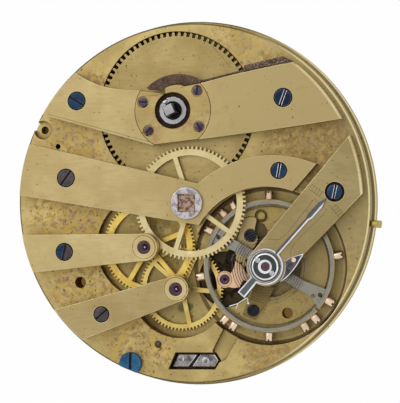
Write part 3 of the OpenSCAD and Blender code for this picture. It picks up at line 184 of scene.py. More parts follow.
class Painter(Writer):
    """Writes one node-based material."""

    def __init__(self, name: str) -> None:
        """Start a material of some name with its Principled shader."""
        self.material = bpy.data.materials.new(name)
        self.material.use_nodes = True
        super().__init__(self.material.node_tree)
        self.shader = self.tree.nodes["Principled BSDF"]

    def vector(self, operation: str, links: dict[Key, Value], out: Key = 0) -> Shade:
        """Add a Vector Math node."""
        return self.node("ShaderNodeVectorMath", {"operation": operation}, links, out)

    def place(self, scale: Sequence[float] = (1, 1, 1), turn: float = 0.0,
              centre: Sequence[float] = (0, 0, 0)) -> Shade:
        """Return the place on the piece in millimetres.

        Args:
            scale: Stretch of the pattern along each axis.
            turn: Turn of the pattern about Z, in degrees.
            centre: Place that becomes the pattern's own centre, in millimetres.

        Returns:
            A vector socket.
        """
        raw = self.node("ShaderNodeTexCoord", out="Object")
        whole = self.vector("SCALE", {0: raw, "Scale": 1 / MM})
        moved = self.vector("SUBTRACT", {0: whole, 1: tuple(centre)})
        return self.node("ShaderNodeMapping", links={
            "Vector": moved, "Rotation": (0, 0, math.radians(turn)), "Scale": tuple(scale)})

    def noise(self, scale: float, detail: float = 3.0, at: Shade | None = None, rough: float = 0.55) -> Shade:
        """Return cloudy noise from 0 to 1, with its scale in lumps per millimetre."""
        return self.node("ShaderNodeTexNoise", links={
            "Vector": at or self.place(), "Scale": scale, "Detail": detail, "Roughness": rough})

    def band(self, value: Shade, low: float, high: float) -> Shade:
        """Return 0 below low, 1 above high and a smooth step between them."""
        return self.node("ShaderNodeMapRange", {"interpolation_type": "SMOOTHSTEP"},
                         {"Value": value, "From Min": low, "From Max": high})

    def mix(self, share: Value, first: Value, second: Value) -> Shade:
        """Blend two colours by the share of the second."""
        ends = (end if isinstance(end, Shade) else (*end, 1.0) for end in (first, second))
        return self.node("ShaderNodeMix", {"data_type": "RGBA"}, {0: share, **dict(zip((6, 7), ends))}, 2)

    def spots(self, per_mm: float, size: float, keep: float) -> Shade:
        """Return small scattered spots.

        Args:
            per_mm: Cells per millimetre.
            size: Radius of a spot, as a share of its cell.
            keep: Share of the cells that has a spot.

        Returns:
            A value socket, 1 inside a spot.
        """
        links = {"Vector": self.place(), "Scale": per_mm}
        distance, tone = (self.node("ShaderNodeTexVoronoi", {"feature": "F1"}, links, out)
                          for out in ("Distance", "Color"))
        chance = self.node("ShaderNodeSeparateColor", links={0: tone})
        return (1.0 - self.band(distance, size * 0.6, size)) * self.band(chance, 1.0 - keep, 1.001 - keep)

    def near(self, centre: Sequence[float], radius: float, ragged: float) -> Shade:
        """Return a soft spot about one place.

        Args:
            centre: Place in millimetres.
            radius: Radius in millimetres.
            ragged: How far noise shifts its edge, in millimetres.

        Returns:
            A value socket, 1 at the centre.
        """
        away = self.vector("LENGTH", {0: self.place(centre=centre)}, "Value")
        uneven = away + (self.noise(1.6) - 0.5) * (2 * ragged)
        return 1.0 - self.band(uneven, radius * 0.55, radius)

    def dabs(self, colour: Value, spots: Rows, tone: Colour, share: float, ragged: float = 0.5) -> Value:
        """Lay soft spots of another tone over a colour.

        Args:
            colour: The colour below.
            spots: Place and radius of each spot, in millimetres.
            tone: Colour of the spots.
            share: Share of the tone at a spot's centre.
            ragged: How far noise shifts a spot's edge, in millimetres.

        Returns:
            The new colour.
        """
        for *centre, radius in spots:
            colour = self.mix(self.near(centre, radius, ragged) * share, colour, tone)
        return colour

    def away(self, axis_mm: Place) -> Shade:
        """Return the distance from an upright axis in millimetres."""
        return self.vector("LENGTH", {0: self.place((1, 1, 0), centre=(*axis_mm, 0))}, "Value")

    def along(self, axis: str) -> Shade:
        """Return the place along one axis of the piece in millimetres."""
        return self.node("ShaderNodeSeparateXYZ", links={0: self.place()}, out=axis)

    def level(self) -> Shade:
        """Return how level the surface lies, from -1 facing down to 1 facing up."""
        normal = self.node("ShaderNodeNewGeometry", out="Normal")
        return self.node("ShaderNodeSeparateXYZ", links={0: normal}, out="Z")

    def shelter(self, reach_mm: float) -> Shade:
        """Return how far the piece's own walls shelter a place, from 0 in the open to 1 in a crack."""
        return 1.0 - self.node("ShaderNodeAmbientOcclusion", {"samples": 6, "only_local": True},
                               {"Distance": reach_mm * MM}, "AO")

    def bump(self, height: Shade, depth_mm: float, strength: float) -> None:
        """Raise the surface by a height map, by the depth of a full step and a share of the effect."""
        links = {"Height": height, "Distance": depth_mm * MM, "Strength": strength}
        self.feed(self.shader.inputs["Normal"], self.node("ShaderNodeBump", links=links, out="Normal"))

    def put(self, **sockets: Value) -> Material:
        """Feed the shader's sockets, named with underscores for spaces, and return the material."""
        for key, value in sockets.items():
            self.feed(self.shader.inputs[key.replace("_", " ")], value)
        return self.material


@dataclass(frozen=True)
class Gilt:
    """Fire-gilt brass: a fine grain with clouds, faint stains and a few pits; where a shading colour is given,
    painted shade or highlight across X.
    """

    name: str
    bright: Colour
    dull: Colour
    stain: Colour = rgb(170, 132, 100)
    stain_share: float = 0.0
    pit_share: float = 0.1
    grain: float = 9.0
    roughness: float = 0.42
    metallic: float = 0.85
    # Painted shade or highlight: the colour it turns to across X, and the span of X in millimetres.
    painted_shading: Colour | None = None
    painted_shading_mm: Place = (-8.0, 12.0)
    blush: Rows = ()
    verdigris: Rows = ()

    def paint(self) -> Material:
        """Return the material."""
        p = Painter(self.name)
        cloud = p.band(p.noise(0.22, 4.0), 0.36, 0.66)
        fine = p.noise(self.grain, 2.0)
        streak = p.noise(1.6, 4.0, at=p.place(scale=(0.35, 2.2, 1.0), turn=14), rough=0.6)
        colour = p.mix(cloud, self.dull, self.bright)
        colour = p.mix(p.band(streak, 0.4, 0.7) * 0.4, colour, tuple(part * 0.86 for part in self.dull))
        colour = p.mix(p.band(fine, 0.3, 0.75) * 0.3, colour, self.dull)
        # Painted shade or highlight: the colour turns towards the shading colour across X.
        if self.painted_shading is not None:
            colour = p.mix(p.band(p.along("X"), *self.painted_shading_mm), colour, self.painted_shading)
        stains = p.band(p.noise(0.7, 5.0, rough=0.66), 0.5, 0.66) * p.band(p.noise(0.16, 2.0), 0.4, 0.58)
        colour = p.mix(stains * self.stain_share, colour, self.stain)
        colour = p.dabs(colour, self.blush, rgb(220, 182, 150), 1.0, 0.3)
        pits = p.spots(1.7, 0.16, self.pit_share).most(p.spots(0.8, 0.1, self.pit_share * 0.8))
        pits = pits.most(p.spots(3.6, 0.2, self.pit_share * 0.5))
        colour = p.mix(pits * 0.8, colour, rgb(88, 64, 36))
        colour = p.dabs(colour, self.verdigris, rgb(34, 78, 54), 0.9)
        rough = self.roughness + cloud * -0.05 + stains * (0.2 * self.stain_share) + pits * 0.2
        p.bump(fine * 0.5 + pits * -0.8, 0.006, 0.6)
        return p.put(Base_Color=colour, Roughness=rough, Metallic=self.metallic)


@dataclass(frozen=True)
class WornGilt:
    """Gilding worn and tarnished in patches, with dark pits, and painted shade: darker towards the right, brown on
    its walls, dark in its corners, lower floors, outer wall lines, balance trench and deep pits, with a painted
    highlight line by the trench.
    """

    name: str
    bright: Colour
    dull: Colour
    patches: tuple[tuple[Colour, float, float], ...]
    worn_mm: Rows
    browned_mm: Rows
    painted_pit_shade_mm: Rows
    lines_mm: Rows
    # Painted shade: the plate darkens towards the right over this span.
    painted_shading: Colour = rgb(154, 138, 98)
    painted_shading_mm: Place = (4.0, 19.0)
    # Painted shade: brown for the upright faces inside the rim.
    wall: Colour = rgb(122, 86, 44)
    outer: Colour = rgb(158, 140, 86)
    # Painted shade: a darker tone for the lower floors, below the deep_mm heights.
    deep: Colour = rgb(140, 122, 70)
    brown: Colour = rgb(138, 106, 54)
    # Painted shade: dark brown for corners, the balance trench and the lines on the outer wall, and near black for
    # the deep pits.
    painted_crevice_shade: Colour = rgb(74, 50, 22)
    painted_pit_shade: Colour = rgb(44, 32, 18)
    deep_mm: Place = (3.1, 3.4)
    rim_mm: float = 20.3
    level_mm: float = 3.8
    trench_mm: tuple[float, float, float, float] = (9.27, -7.3, 8.72, 9.25)
    trench_z_mm: Place = (3.0, 3.3)
    verdigris: Rows = ()

    def film(self, p: Painter, colour: Shade) -> tuple[Shade, Shade]:
        """Lay the worn patches and the brown spots over the gilding.

        Args:
            p: The painter of the material.
            colour: The gilding's colour.

        Returns:
            The new colour, and the share of the surface that a film covers.
        """
        worn = p.noise(0.3, 2.0) * 0.3
        for x, y, radius, share in self.worn_mm:
            worn = worn.most(p.near((x, y, self.level_mm), radius, 2.5) * share)
        film = worn * 0.0
        for index, (tone, low, lumps) in enumerate(self.patches):
            seed = (17.0 * index + 5, 9.0 * index, 3.0)
            patch = p.band(p.noise(lumps, 5.0, at=p.place(centre=seed), rough=0.64), low, low + 0.12) * worn
            colour = p.mix(patch, colour, tone)
            film = film.most(patch)
        mottle = p.band(p.noise(2.0, 5.0, rough=0.68), 0.36, 0.62)
        for x, y, radius, share in self.browned_mm:
            brown = p.near((x, y, self.level_mm), radius, 2.0) * mottle * share
            colour = p.mix(brown, colour, self.brown)
        pits = p.spots(2.0, 0.17, 0.42).most(p.spots(0.9, 0.12, 0.4)).most(p.spots(4.5, 0.22, 0.3) * worn)
        return p.mix(pits * 0.8, colour, rgb(80, 58, 32)), film.most(pits)

    def paint(self) -> Material:
        """Return the material."""
        p = Painter(self.name)
        fine = p.noise(6.0, 3.0)
        colour = p.mix(p.band(p.noise(0.3, 4.0), 0.36, 0.66), self.dull, self.bright)
        colour = p.mix(p.band(p.along("X"), *self.painted_shading_mm) * 0.85, colour, self.painted_shading)
        colour, film = self.film(p, colour)
        colour = p.mix(p.band(fine, 0.45, 0.8) * 0.22, colour, self.dull)
        colour = p.dabs(colour, self.verdigris, rgb(52, 96, 62), 0.85, 0.35)
        height = p.along("Z")
        outside = p.band(p.away((0, 0)), self.rim_mm, self.rim_mm + 0.2)
        upright = 1.0 - p.band(p.level(), 0.3, 0.7)
        # Painted shade: floors below the deep_mm heights darken.
        colour = p.mix((1.0 - p.band(height, *self.deep_mm)) * (1.0 - outside) * 0.3, colour, self.deep)
        # Painted shade: upright faces inside the rim turn brown.
        colour = p.mix(upright * (1.0 - outside) * 0.9, colour, self.wall)
        colour = p.mix(upright * outside * 0.8, colour, self.outer)
        # Painted shade: dark lines round the outer wall at two heights.
        for low, high in self.lines_mm:
            line = p.band(height, low, low + 0.02) * (1.0 - p.band(height, high - 0.02, high))
            colour = p.mix(line * outside * 0.9, colour, self.painted_crevice_shade)
        # Painted shade in the piece's own corners and cracks, from ambient occlusion.
        colour = p.mix(p.band(p.shelter(0.8), 0.34, 0.85) * 0.75, colour, self.painted_crevice_shade)
        # Painted shade: a dark ring inside the balance trench, with a painted highlight line just inside it.
        x, y, inner, outer = self.trench_mm
        away = p.away((x, y))
        ring = p.band(away, inner, inner + 0.12) * (1.0 - p.band(away, outer, outer + 0.05))
        low = 1.0 - p.band(height, *self.trench_z_mm)
        colour = p.mix(ring * low * 0.75, colour, self.painted_crevice_shade)
        line = p.band(away, inner - 0.22, inner - 0.14) * (1.0 - p.band(away, inner - 0.06, inner))
        colour = p.mix(line * low * 0.45, colour, self.bright)
        # Painted shade: near-black discs in the deep pits, below a height.
        for x, y, radius, top, share in self.painted_pit_shade_mm:
            inside = 1.0 - p.band(p.away((x, y)), radius, radius + 0.1)
            below = 1.0 - p.band(height, top - 0.1, top)
            colour = p.mix(inside * below * share, colour, self.painted_pit_shade)
        p.bump(fine * 0.5 + film * -0.4, 0.006, 0.6)
        return p.put(Base_Color=colour, Roughness=0.45 + film * 0.14, Metallic=0.8 - film * 0.3)


@dataclass(frozen=True)
class Turned:
    """Polished brass or steel that was turned on a lathe, with fine rings about its axis."""

    name: str
    bright: Colour
    dull: Colour
    axis_mm: Place = (0.0, 0.0)
    rings_per_mm: float = 7.0
    roughness: float = 0.26
    pit_share: float = 0.06
    verdigris: Rows = ()

    def paint(self) -> Material:
        """Return the material."""
        p = Painter(self.name)
        ring = p.node("ShaderNodeTexNoise", {"noise_dimensions": "1D"},
                      {"W": p.away(self.axis_mm), "Scale": self.rings_per_mm, "Detail": 2.0})
        cloud = p.band(p.noise(0.5, 4.0), 0.38, 0.68)
        colour = p.mix(cloud * 0.7 + ring * 0.2, self.bright, self.dull)
        pits = p.spots(2.1, 0.15, self.pit_share)
        colour = p.mix(pits * 0.75, colour, rgb(70, 54, 32))
        colour = p.dabs(colour, self.verdigris, rgb(30, 84, 58), 0.9)
        p.bump(ring * 0.6 + pits * -0.6, 0.004, 0.5)
        return p.put(Base_Color=colour, Roughness=self.roughness + ring * 0.08 + cloud * 0.06, Metallic=1.0)


@dataclass(frozen=True)
class Steel:
    """Hardened steel, ground along one direction, with a thin film of tarnish."""

    name: str
    bright: Colour
    tarnish: Colour
    tarnish_share: float = 0.35
    grain_turn: float = 0.0
    roughness: float = 0.22
    rust_share: float = 0.0
    metallic: float = 1.0
    film_per_mm: float = 0.9
    film_band: tuple[float, float] = (0.35, 0.7)
    speck_share: float = 0.0

    def paint(self) -> Material:
        """Return the material."""
        p = Painter(self.name)
        scratch = p.noise(5.0, 3.0, at=p.place(scale=(0.25, 4.0, 1.0), turn=self.grain_turn))
        film = p.band(p.noise(self.film_per_mm, 4.0), *self.film_band)
        colour = p.mix(film * self.tarnish_share, self.bright, self.tarnish)
        colour = p.mix(scratch * 0.12, colour, self.tarnish)
        rust = p.band(p.noise(2.4, 5.0, rough=0.7), 0.5, 0.64) * self.rust_share
        colour = p.mix(rust, colour, rgb(112, 72, 44))
        specks = p.band(p.noise(5.5, 5.0, rough=0.75), 0.5, 0.66) * p.band(p.along("X"), 2.0, 9.0).most(0.4)
        specks = specks * self.speck_share
        colour = p.mix(specks, colour, rgb(164, 152, 140))
        p.bump(scratch * 0.5 + rust * 0.5, 0.004, 0.5)
        return p.put(Base_Color=colour, Roughness=self.roughness + scratch * 0.1 + rust * 0.3,
                     Metallic=self.metallic - rust * (0.6 * self.metallic))


@dataclass(frozen=True)
class Blued:
    """Steel let down over a flame until an oxide film turns it blue, purple or grey."""

    name: str
    film: Colour
    second: Colour
    lumps: float = 0.8
    roughness: float = 0.24

    def paint(self) -> Material:
        """Return the material."""
        p = Painter(self.name)
        drift = p.band(p.noise(self.lumps, 3.0), 0.35, 0.68)
        scratch = p.noise(6.0, 3.0, at=p.place(scale=(0.3, 3.0, 1.0), turn=24))
        colour = p.mix(drift, self.film, self.second)
        colour = p.mix(p.band(scratch, 0.58, 0.8) * 0.25, colour, rgb(120, 128, 138))
        p.bump(scratch, 0.003, 0.5)
        return p.put(Base_Color=colour, Roughness=self.roughness + scratch * 0.12, Metallic=0.95)


@dataclass(frozen=True)
class Ruby:
    """Clear red to violet corundum, polished, with faint clouds inside."""

    name: str
    deep: Colour
    light: Colour

    def paint(self) -> Material:
        """Return the material."""
        p = Painter(self.name)
        veil = p.band(p.noise(2.2, 3.0), 0.35, 0.7)
        return p.put(Base_Color=p.mix(veil, self.deep, self.light), Roughness=0.1 + veil * 0.08, Metallic=0.0,
                     Coat_Weight=0.1, IOR=1.76, Specular_IOR_Level=0.25)


@dataclass(frozen=True)
class Ink:
    """Dark wax that lies in engraved lines; the same dark paint stands as painted shade in slots, seats and other
    hollows.
    """

    name: str
    tone: Colour

    def paint(self) -> Material:
        """Return the material."""
        p = Painter(self.name)
        lumps = p.noise(3.0, 3.0)
        colour = p.mix(p.band(lumps, 0.4, 0.7), self.tone, tuple(part * 1.9 for part in self.tone))
        p.bump(lumps, 0.004, 0.4)
        return p.put(Base_Color=colour, Roughness=0.5 + lumps * 0.2, Metallic=0.2)


class Finish(Enum):
    """The finishes of the movement; each is painted once."""

    # Painted shade and light: the bar gilt darkens towards the right, and the third bar, the fourth bar and the
    # cock take lighter and darker copies of it for how light falls on each.
    BAR = Gilt("bar_gilt", rgb(194, 174, 124), rgb(180, 159, 108), stain=rgb(168, 138, 92), stain_share=0.3,
               pit_share=0.12, painted_shading=rgb(174, 154, 106))
    THIRD_BAR = Gilt("third_bar_light_gilt", rgb(204, 185, 134), rgb(188, 168, 116), stain=rgb(168, 138, 92),
                     stain_share=0.3, pit_share=0.12)
    FOURTH_BAR = Gilt("fourth_bar_shade_gilt", rgb(182, 161, 112), rgb(166, 145, 98), stain=rgb(156, 128, 86),
                      stain_share=0.3, pit_share=0.12)
    COCK = Gilt("cock_gilt", rgb(168, 151, 106), rgb(152, 134, 90), pit_share=0.1)
    COVER = Gilt("cover_gilt", rgb(188, 167, 112), rgb(168, 146, 92), stain_share=0.8, pit_share=0.16)
    COVER_EDGE = Gilt("cover_edge_gilt", rgb(112, 90, 52), rgb(88, 68, 38), pit_share=0.0)
    # Painted highlight: paler gilt on the broken edges of bars, settings and the barrel.
    BAR_EDGE = Gilt("bar_highlight_gilt", rgb(230, 213, 164), rgb(202, 183, 130), roughness=0.3, pit_share=0.0)
    PLATE = WornGilt(
        "plate_gilt", rgb(200, 179, 120), rgb(174, 152, 98),
        patches=((rgb(212, 182, 88), 0.46, 1.2), (rgb(188, 152, 104), 0.5, 1.4),
                 (rgb(158, 120, 112), 0.56, 1.6), (rgb(150, 139, 94), 0.55, 1.3),
                 (rgb(116, 84, 46), 0.58, 1.9)),
        worn_mm=((-14.5, 6.4, 5.0, 0.8), (-15.0, -1.5, 6.0, 1.0), (-13.0, -9.5, 5.5, 1.0),
                 (-6.0, -16.5, 5.5, 0.95), (-4.5, -4.5, 5.0, 0.9), (14.0, 6.2, 5.5, 0.5),
                 (-11.0, 13.0, 3.0, 0.8), (5.5, 17.5, 5.0, 0.6), (9.0, -18.0, 4.5, 0.6),
                 (17.5, -8.0, 4.0, 0.4), (11.0, -11.5, 4.5, 0.7), (10.0, -2.0, 3.0, 0.6)),
        browned_mm=((14.0, 6.2, 6.5, 0.75), (-12.0, 13.4, 2.6, 0.7), (9.0, -17.0, 3.6, 0.5),
                    (9.6, 15.0, 3.0, 0.5)),
        # Painted shade in the deep pits: place, radius, top height and share of each dark disc.
        painted_pit_shade_mm=((3.92, -8.93, 3.3, 2.3, 0.92), (5.8, -7.06, 2.18, 2.3, 0.92),
                  (-1.1, -18.5, 1.95, 3.0, 0.85), (2.0, -18.5, 1.95, 3.0, 0.85),
                  (8.1, -3.65, 1.75, 2.6, 0.75)),
        lines_mm=((1.31, 1.47), (3.34, 3.52)),
        verdigris=((-1.4, -12.4, 2.0, 0.7), (-0.6, -12.2, 2.0, 0.6)))
    # Painted shade and highlight: dark olive edges on the left, turning bright towards the right.
    PLATE_EDGE = Gilt("plate_edge_gilt", rgb(118, 104, 64), rgb(98, 86, 52), pit_share=0.25, roughness=0.34,
                      painted_shading=rgb(226, 209, 154), painted_shading_mm=(5.0, 15.0))
    ROSE = Gilt("rose_gilt", rgb(222, 186, 154), rgb(194, 154, 122), stain_share=0.3, pit_share=0.05)
    COCK_FOOT = Gilt("escape_cock_gilt", rgb(144, 125, 74), rgb(120, 102, 56), pit_share=0.2,
                     blush=((3.92, -8.93, 3.1, 3.5),))
    BARREL = Gilt("barrel_gilt", rgb(180, 159, 107), rgb(160, 139, 88), stain_share=0.25, pit_share=0.6,
                  verdigris=((6.9, 4.9, 3.75, 0.9), (6.2, 4.2, 3.75, 0.7)))
    # Painted shade: dark brown on the barrel's tooth gaps, low faces and undersides.
    BARREL_LOW = Gilt("barrel_wall", rgb(60, 43, 22), rgb(38, 27, 15), roughness=0.55)
    SETTING = Gilt("setting_gilt", rgb(210, 191, 142), rgb(192, 172, 118), pit_share=0.0)
    WHEEL = Turned("centre_brass", rgb(212, 196, 148), rgb(186, 168, 116))
    THIRD = Turned("third_brass", rgb(228, 198, 106), rgb(196, 164, 76), axis_mm=(-5.21, -5.16))
    FOURTH = Turned("fourth_brass", rgb(220, 194, 118), rgb(188, 160, 84), axis_mm=(-1.4, -10.03),
                    verdigris=((-0.2, -11.3, 2.5, 0.5),))
    SCREW_GOLD = Turned("screw_gold", rgb(228, 204, 178), rgb(202, 174, 148), pit_share=0.0)
    PIN_BRASS = Turned("pin_brass", rgb(196, 176, 104), rgb(166, 146, 84))
    STEEL = Steel("polished_steel", rgb(172, 170, 172), rgb(122, 118, 120))
    # Painted reflection: darker steel for the regulator's flat polished faces.
    REGULATOR = Steel("regulator_steel", rgb(96, 102, 102), rgb(70, 76, 76), roughness=0.2)
    # Painted highlight: near-white steel on broken edges, slot edges, slopes and the curb wire.
    STEEL_EDGE = Steel("steel_highlight", rgb(238, 238, 240), rgb(196, 196, 202), tarnish_share=0.5, roughness=0.3,
                       film_per_mm=2.0)
    # Painted highlight: pale steel on the setting arbor's broken edges.
    DISC_EDGE = Steel("disc_highlight", rgb(206, 204, 206), rgb(150, 146, 150), tarnish_share=0.8, film_per_mm=1.6)
    # Painted shade: darker, bluer steel for the regulator pointer's facets that face away from the light.
    DARK_SIDE = Steel("painted_shade_steel", rgb(124, 120, 140), rgb(84, 80, 102), roughness=0.25)
    ARM = Steel("arm_steel", rgb(146, 141, 132), rgb(112, 107, 98), grain_turn=30)
    RIM = Steel("rim_steel", rgb(130, 127, 117), rgb(94, 89, 81), tarnish_share=0.6, roughness=0.3)
    # Painted highlight: pale steel on the balance rim's chamfered edge.
    RIM_EDGE = Steel("rim_highlight", rgb(206, 204, 204), rgb(170, 167, 166), tarnish_share=0.3, metallic=0.6)
    RIM_BRASS = Turned("rim_brass", rgb(168, 152, 112), rgb(130, 115, 80), axis_mm=(9.27, -7.3))
    RUSTY = Steel("rusty_steel", rgb(172, 148, 134), rgb(84, 60, 46), tarnish_share=0.9, rust_share=0.6,
                  film_per_mm=2.2, film_band=(0.42, 0.6))
    SHARD = Steel("chipped_steel", rgb(190, 188, 188), rgb(38, 36, 36), tarnish_share=0.95, film_per_mm=4.5,
                  film_band=(0.44, 0.56))
    BLOCK = Steel("block_steel", rgb(158, 155, 153), rgb(66, 62, 60), tarnish_share=0.9, film_per_mm=1.7,
                  film_band=(0.36, 0.68))
    GREY = Steel("click_steel", rgb(86, 68, 57), rgb(64, 50, 42), tarnish_share=0.8, roughness=0.4,
                 speck_share=0.9)
    DARK = Steel("oily_steel", rgb(48, 39, 30), rgb(26, 21, 16), tarnish_share=0.8, roughness=0.4)
    # Painted reflection: dark steel for the stud carrier's flat faces.
    STUD = Steel("stud_steel", rgb(98, 93, 98), rgb(50, 47, 50), tarnish_share=0.85, film_per_mm=1.8)
    DISC = Steel("disc_steel", rgb(200, 194, 197), rgb(122, 114, 117), tarnish_share=0.85, film_per_mm=1.3,
                 film_band=(0.42, 0.62), rust_share=0.15)
    # Painted reflection: near-black steel for the polished cap's flat faces; also the sides of the arbor's square.
    BLACK = Steel("black_polish", rgb(70, 74, 72), rgb(48, 51, 50), roughness=0.2)
    WIRE = Blued("spring_blue", rgb(72, 70, 72), rgb(98, 92, 88))
    BLUE = Blued("screw_blue", rgb(36, 60, 90), rgb(28, 37, 52))
    NIGHT = Blued("escapement_blue", rgb(36, 39, 50), rgb(23, 24, 31))
    SKY = Blued("case_screw_blue", rgb(56, 102, 136), rgb(40, 78, 108))
    SMOKE = Blued("screw_smoke", rgb(86, 77, 78), rgb(66, 58, 60))
    PURPLE = Blued("screw_purple", rgb(88, 73, 92), rgb(64, 52, 68))
    SCREW_EDGE = Steel("screw_edge", rgb(96, 98, 104), rgb(50, 50, 56), tarnish_share=0.7)
    RUBY = Ruby("jewel_ruby", rgb(70, 22, 54), rgb(98, 42, 76))
    GARNET = Ruby("garnet", rgb(88, 36, 50), rgb(120, 66, 76))
    INK = Ink("engraving_ink", rgb(54, 40, 20))
    # Painted shade: near-black paint for slots, screw seats and other hollows.
    OIL = Ink("painted_hollow_shade", rgb(20, 16, 12))

    def material(self) -> Material:
        """Return the painted material, which is made at first use."""
        return bpy.data.materials.get(self.value.name) or self.value.paint()


def deselect() -> None:
    """Deselect everything, in object mode."""
    if bpy.context.object is not None and bpy.context.object.mode != "OBJECT":
        bpy.ops.object.mode_set(mode="OBJECT")
    bpy.ops.object.select_all(action="DESELECT")


def pick(*pieces: Piece) -> None:
    """Make some pieces the only selected ones, and the first of them the active one."""
    deselect()
    for piece in pieces:
        piece.select_set(True)
    bpy.context.view_layer.objects.active = pieces[0]


@contextmanager
def editing() -> Iterator[None]:
    """Work on the active piece in edit mode."""
    bpy.ops.object.mode_set(mode="EDIT")
    yield
    bpy.ops.object.mode_set(mode="OBJECT")


def linked(name: str, data: bpy.types.ID) -> Piece:
    """Put a new object into the scene and return it."""
    made = bpy.data.objects.new(name, data)
    bpy.context.scene.collection.objects.link(made)
    return made


def apply(kind: str, **settings: Any) -> None:
    """Give the active piece a modifier and apply it."""
    modifier = bpy.context.object.modifiers.new(kind.lower(), kind)
    for key, value in settings.items():
        setattr(modifier, key, value)
    bpy.ops.object.modifier_apply(modifier=modifier.name)


def drawn(name: str, lines: Sequence[Sequence[Sequence[float]]], **settings: Any) -> Piece:
    """Draw lines through corners and turn them into a mesh.

    Args:
        name: Name of the piece.
        lines: The corners of each line, in metres.
        **settings: Settings of the curve, such as its thickness.

    Returns:
        The piece, which is the active one.
    """
    curve = bpy.data.curves.new(name, "CURVE")
    curve.dimensions = "3D"
    for key, value in settings.items():
        setattr(curve, key, value)
    for corners in lines:
        line = curve.splines.new("POLY")
        line.points.add(len(corners) - 1)
        for point, corner in zip(line.points, corners):
            point.co = (*corner, 1)
    pick(linked(name, curve))
    bpy.ops.object.convert(target="MESH")
    return bpy.context.object


def attach(piece: Piece, node: str) -> Piece:
    """Let a piece ride on a node's body, and return it."""
    groups = frame["record"]["behaviour"]["bodies"]
    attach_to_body(piece, next(body for body, members in groups.items() if node in members))
    return piece


@cache
def axis_mm(joint: str) -> Vector:
    """Return the place of a joint's upright axis in millimetres."""
    return Vector(next(j["pos_m"] for j in frame["joints"] if j["name"] == joint)).xy / MM


@cache
def top_mm(node: str) -> float:
    """Return the height of a node's highest point in millimetres."""
    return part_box(node)[1].z / MM


def below(limit: float) -> Place:
    """Return the range below a limit."""
    return -math.inf, limit


def above(limit: float) -> Place:
    """Return the range above a limit."""
    return limit, math.inf


def about(middle: float, slack: float) -> Place:
    """Return the range about a middle."""
    return middle - slack, middle + slack


@dataclass(frozen=True)
class Zone:
    """A part of a piece, in some reach of one of its upright axes, at some height and facing some way."""

    axes_mm: Sequence[Sequence[float]] = ((0.0, 0.0),)
    reach_mm: Place = ANY
    z_mm: Place = ANY
    facing: Place = ANY
    right_of_mm: float = -math.inf

    def __call__(self, at: Vector, normal: Vector = Vector((0, 0, 1))) -> bool:
        """Tell whether a place in millimetres, with the surface's normal there, lies in the zone.

        Args:
            at: The place.
            normal: The normal; its height tells which way the surface faces.

        Returns:
            Whether all of the zone's ranges hold the place.
        """
        if not (self.z_mm[0] < at.z < self.z_mm[1] and self.facing[0] < normal.z < self.facing[1]):
            return False
        near = any(self.reach_mm[0] < math.dist(at.xy, axis) < self.reach_mm[1] for axis in self.axes_mm)
        return near and at.x > self.right_of_mm


def islands(mesh: bpy.types.Mesh) -> list[Faces]:
    """Return the faces of each separate shell of a mesh."""
    leader = list(range(len(mesh.vertices)))

    def root(index: int) -> int:
        """Return the vertex that stands for a vertex's shell."""
        while leader[index] != index:
            leader[index] = leader[leader[index]]
            index = leader[index]
        return index
    for edge in mesh.edges:
        leader[root(edge.vertices[0])] = root(edge.vertices[1])
    shells: dict[int, Faces] = {}
    for face in mesh.polygons:
        shells.setdefault(root(face.vertices[0]), []).append(face)
    return list(shells.values())


@dataclass(frozen=True)
class FaceMark:
    """Faces that take a finish of their own, where one of the tests holds their middle and normal."""

    finish: Finish
    tests: tuple[FaceTest, ...]


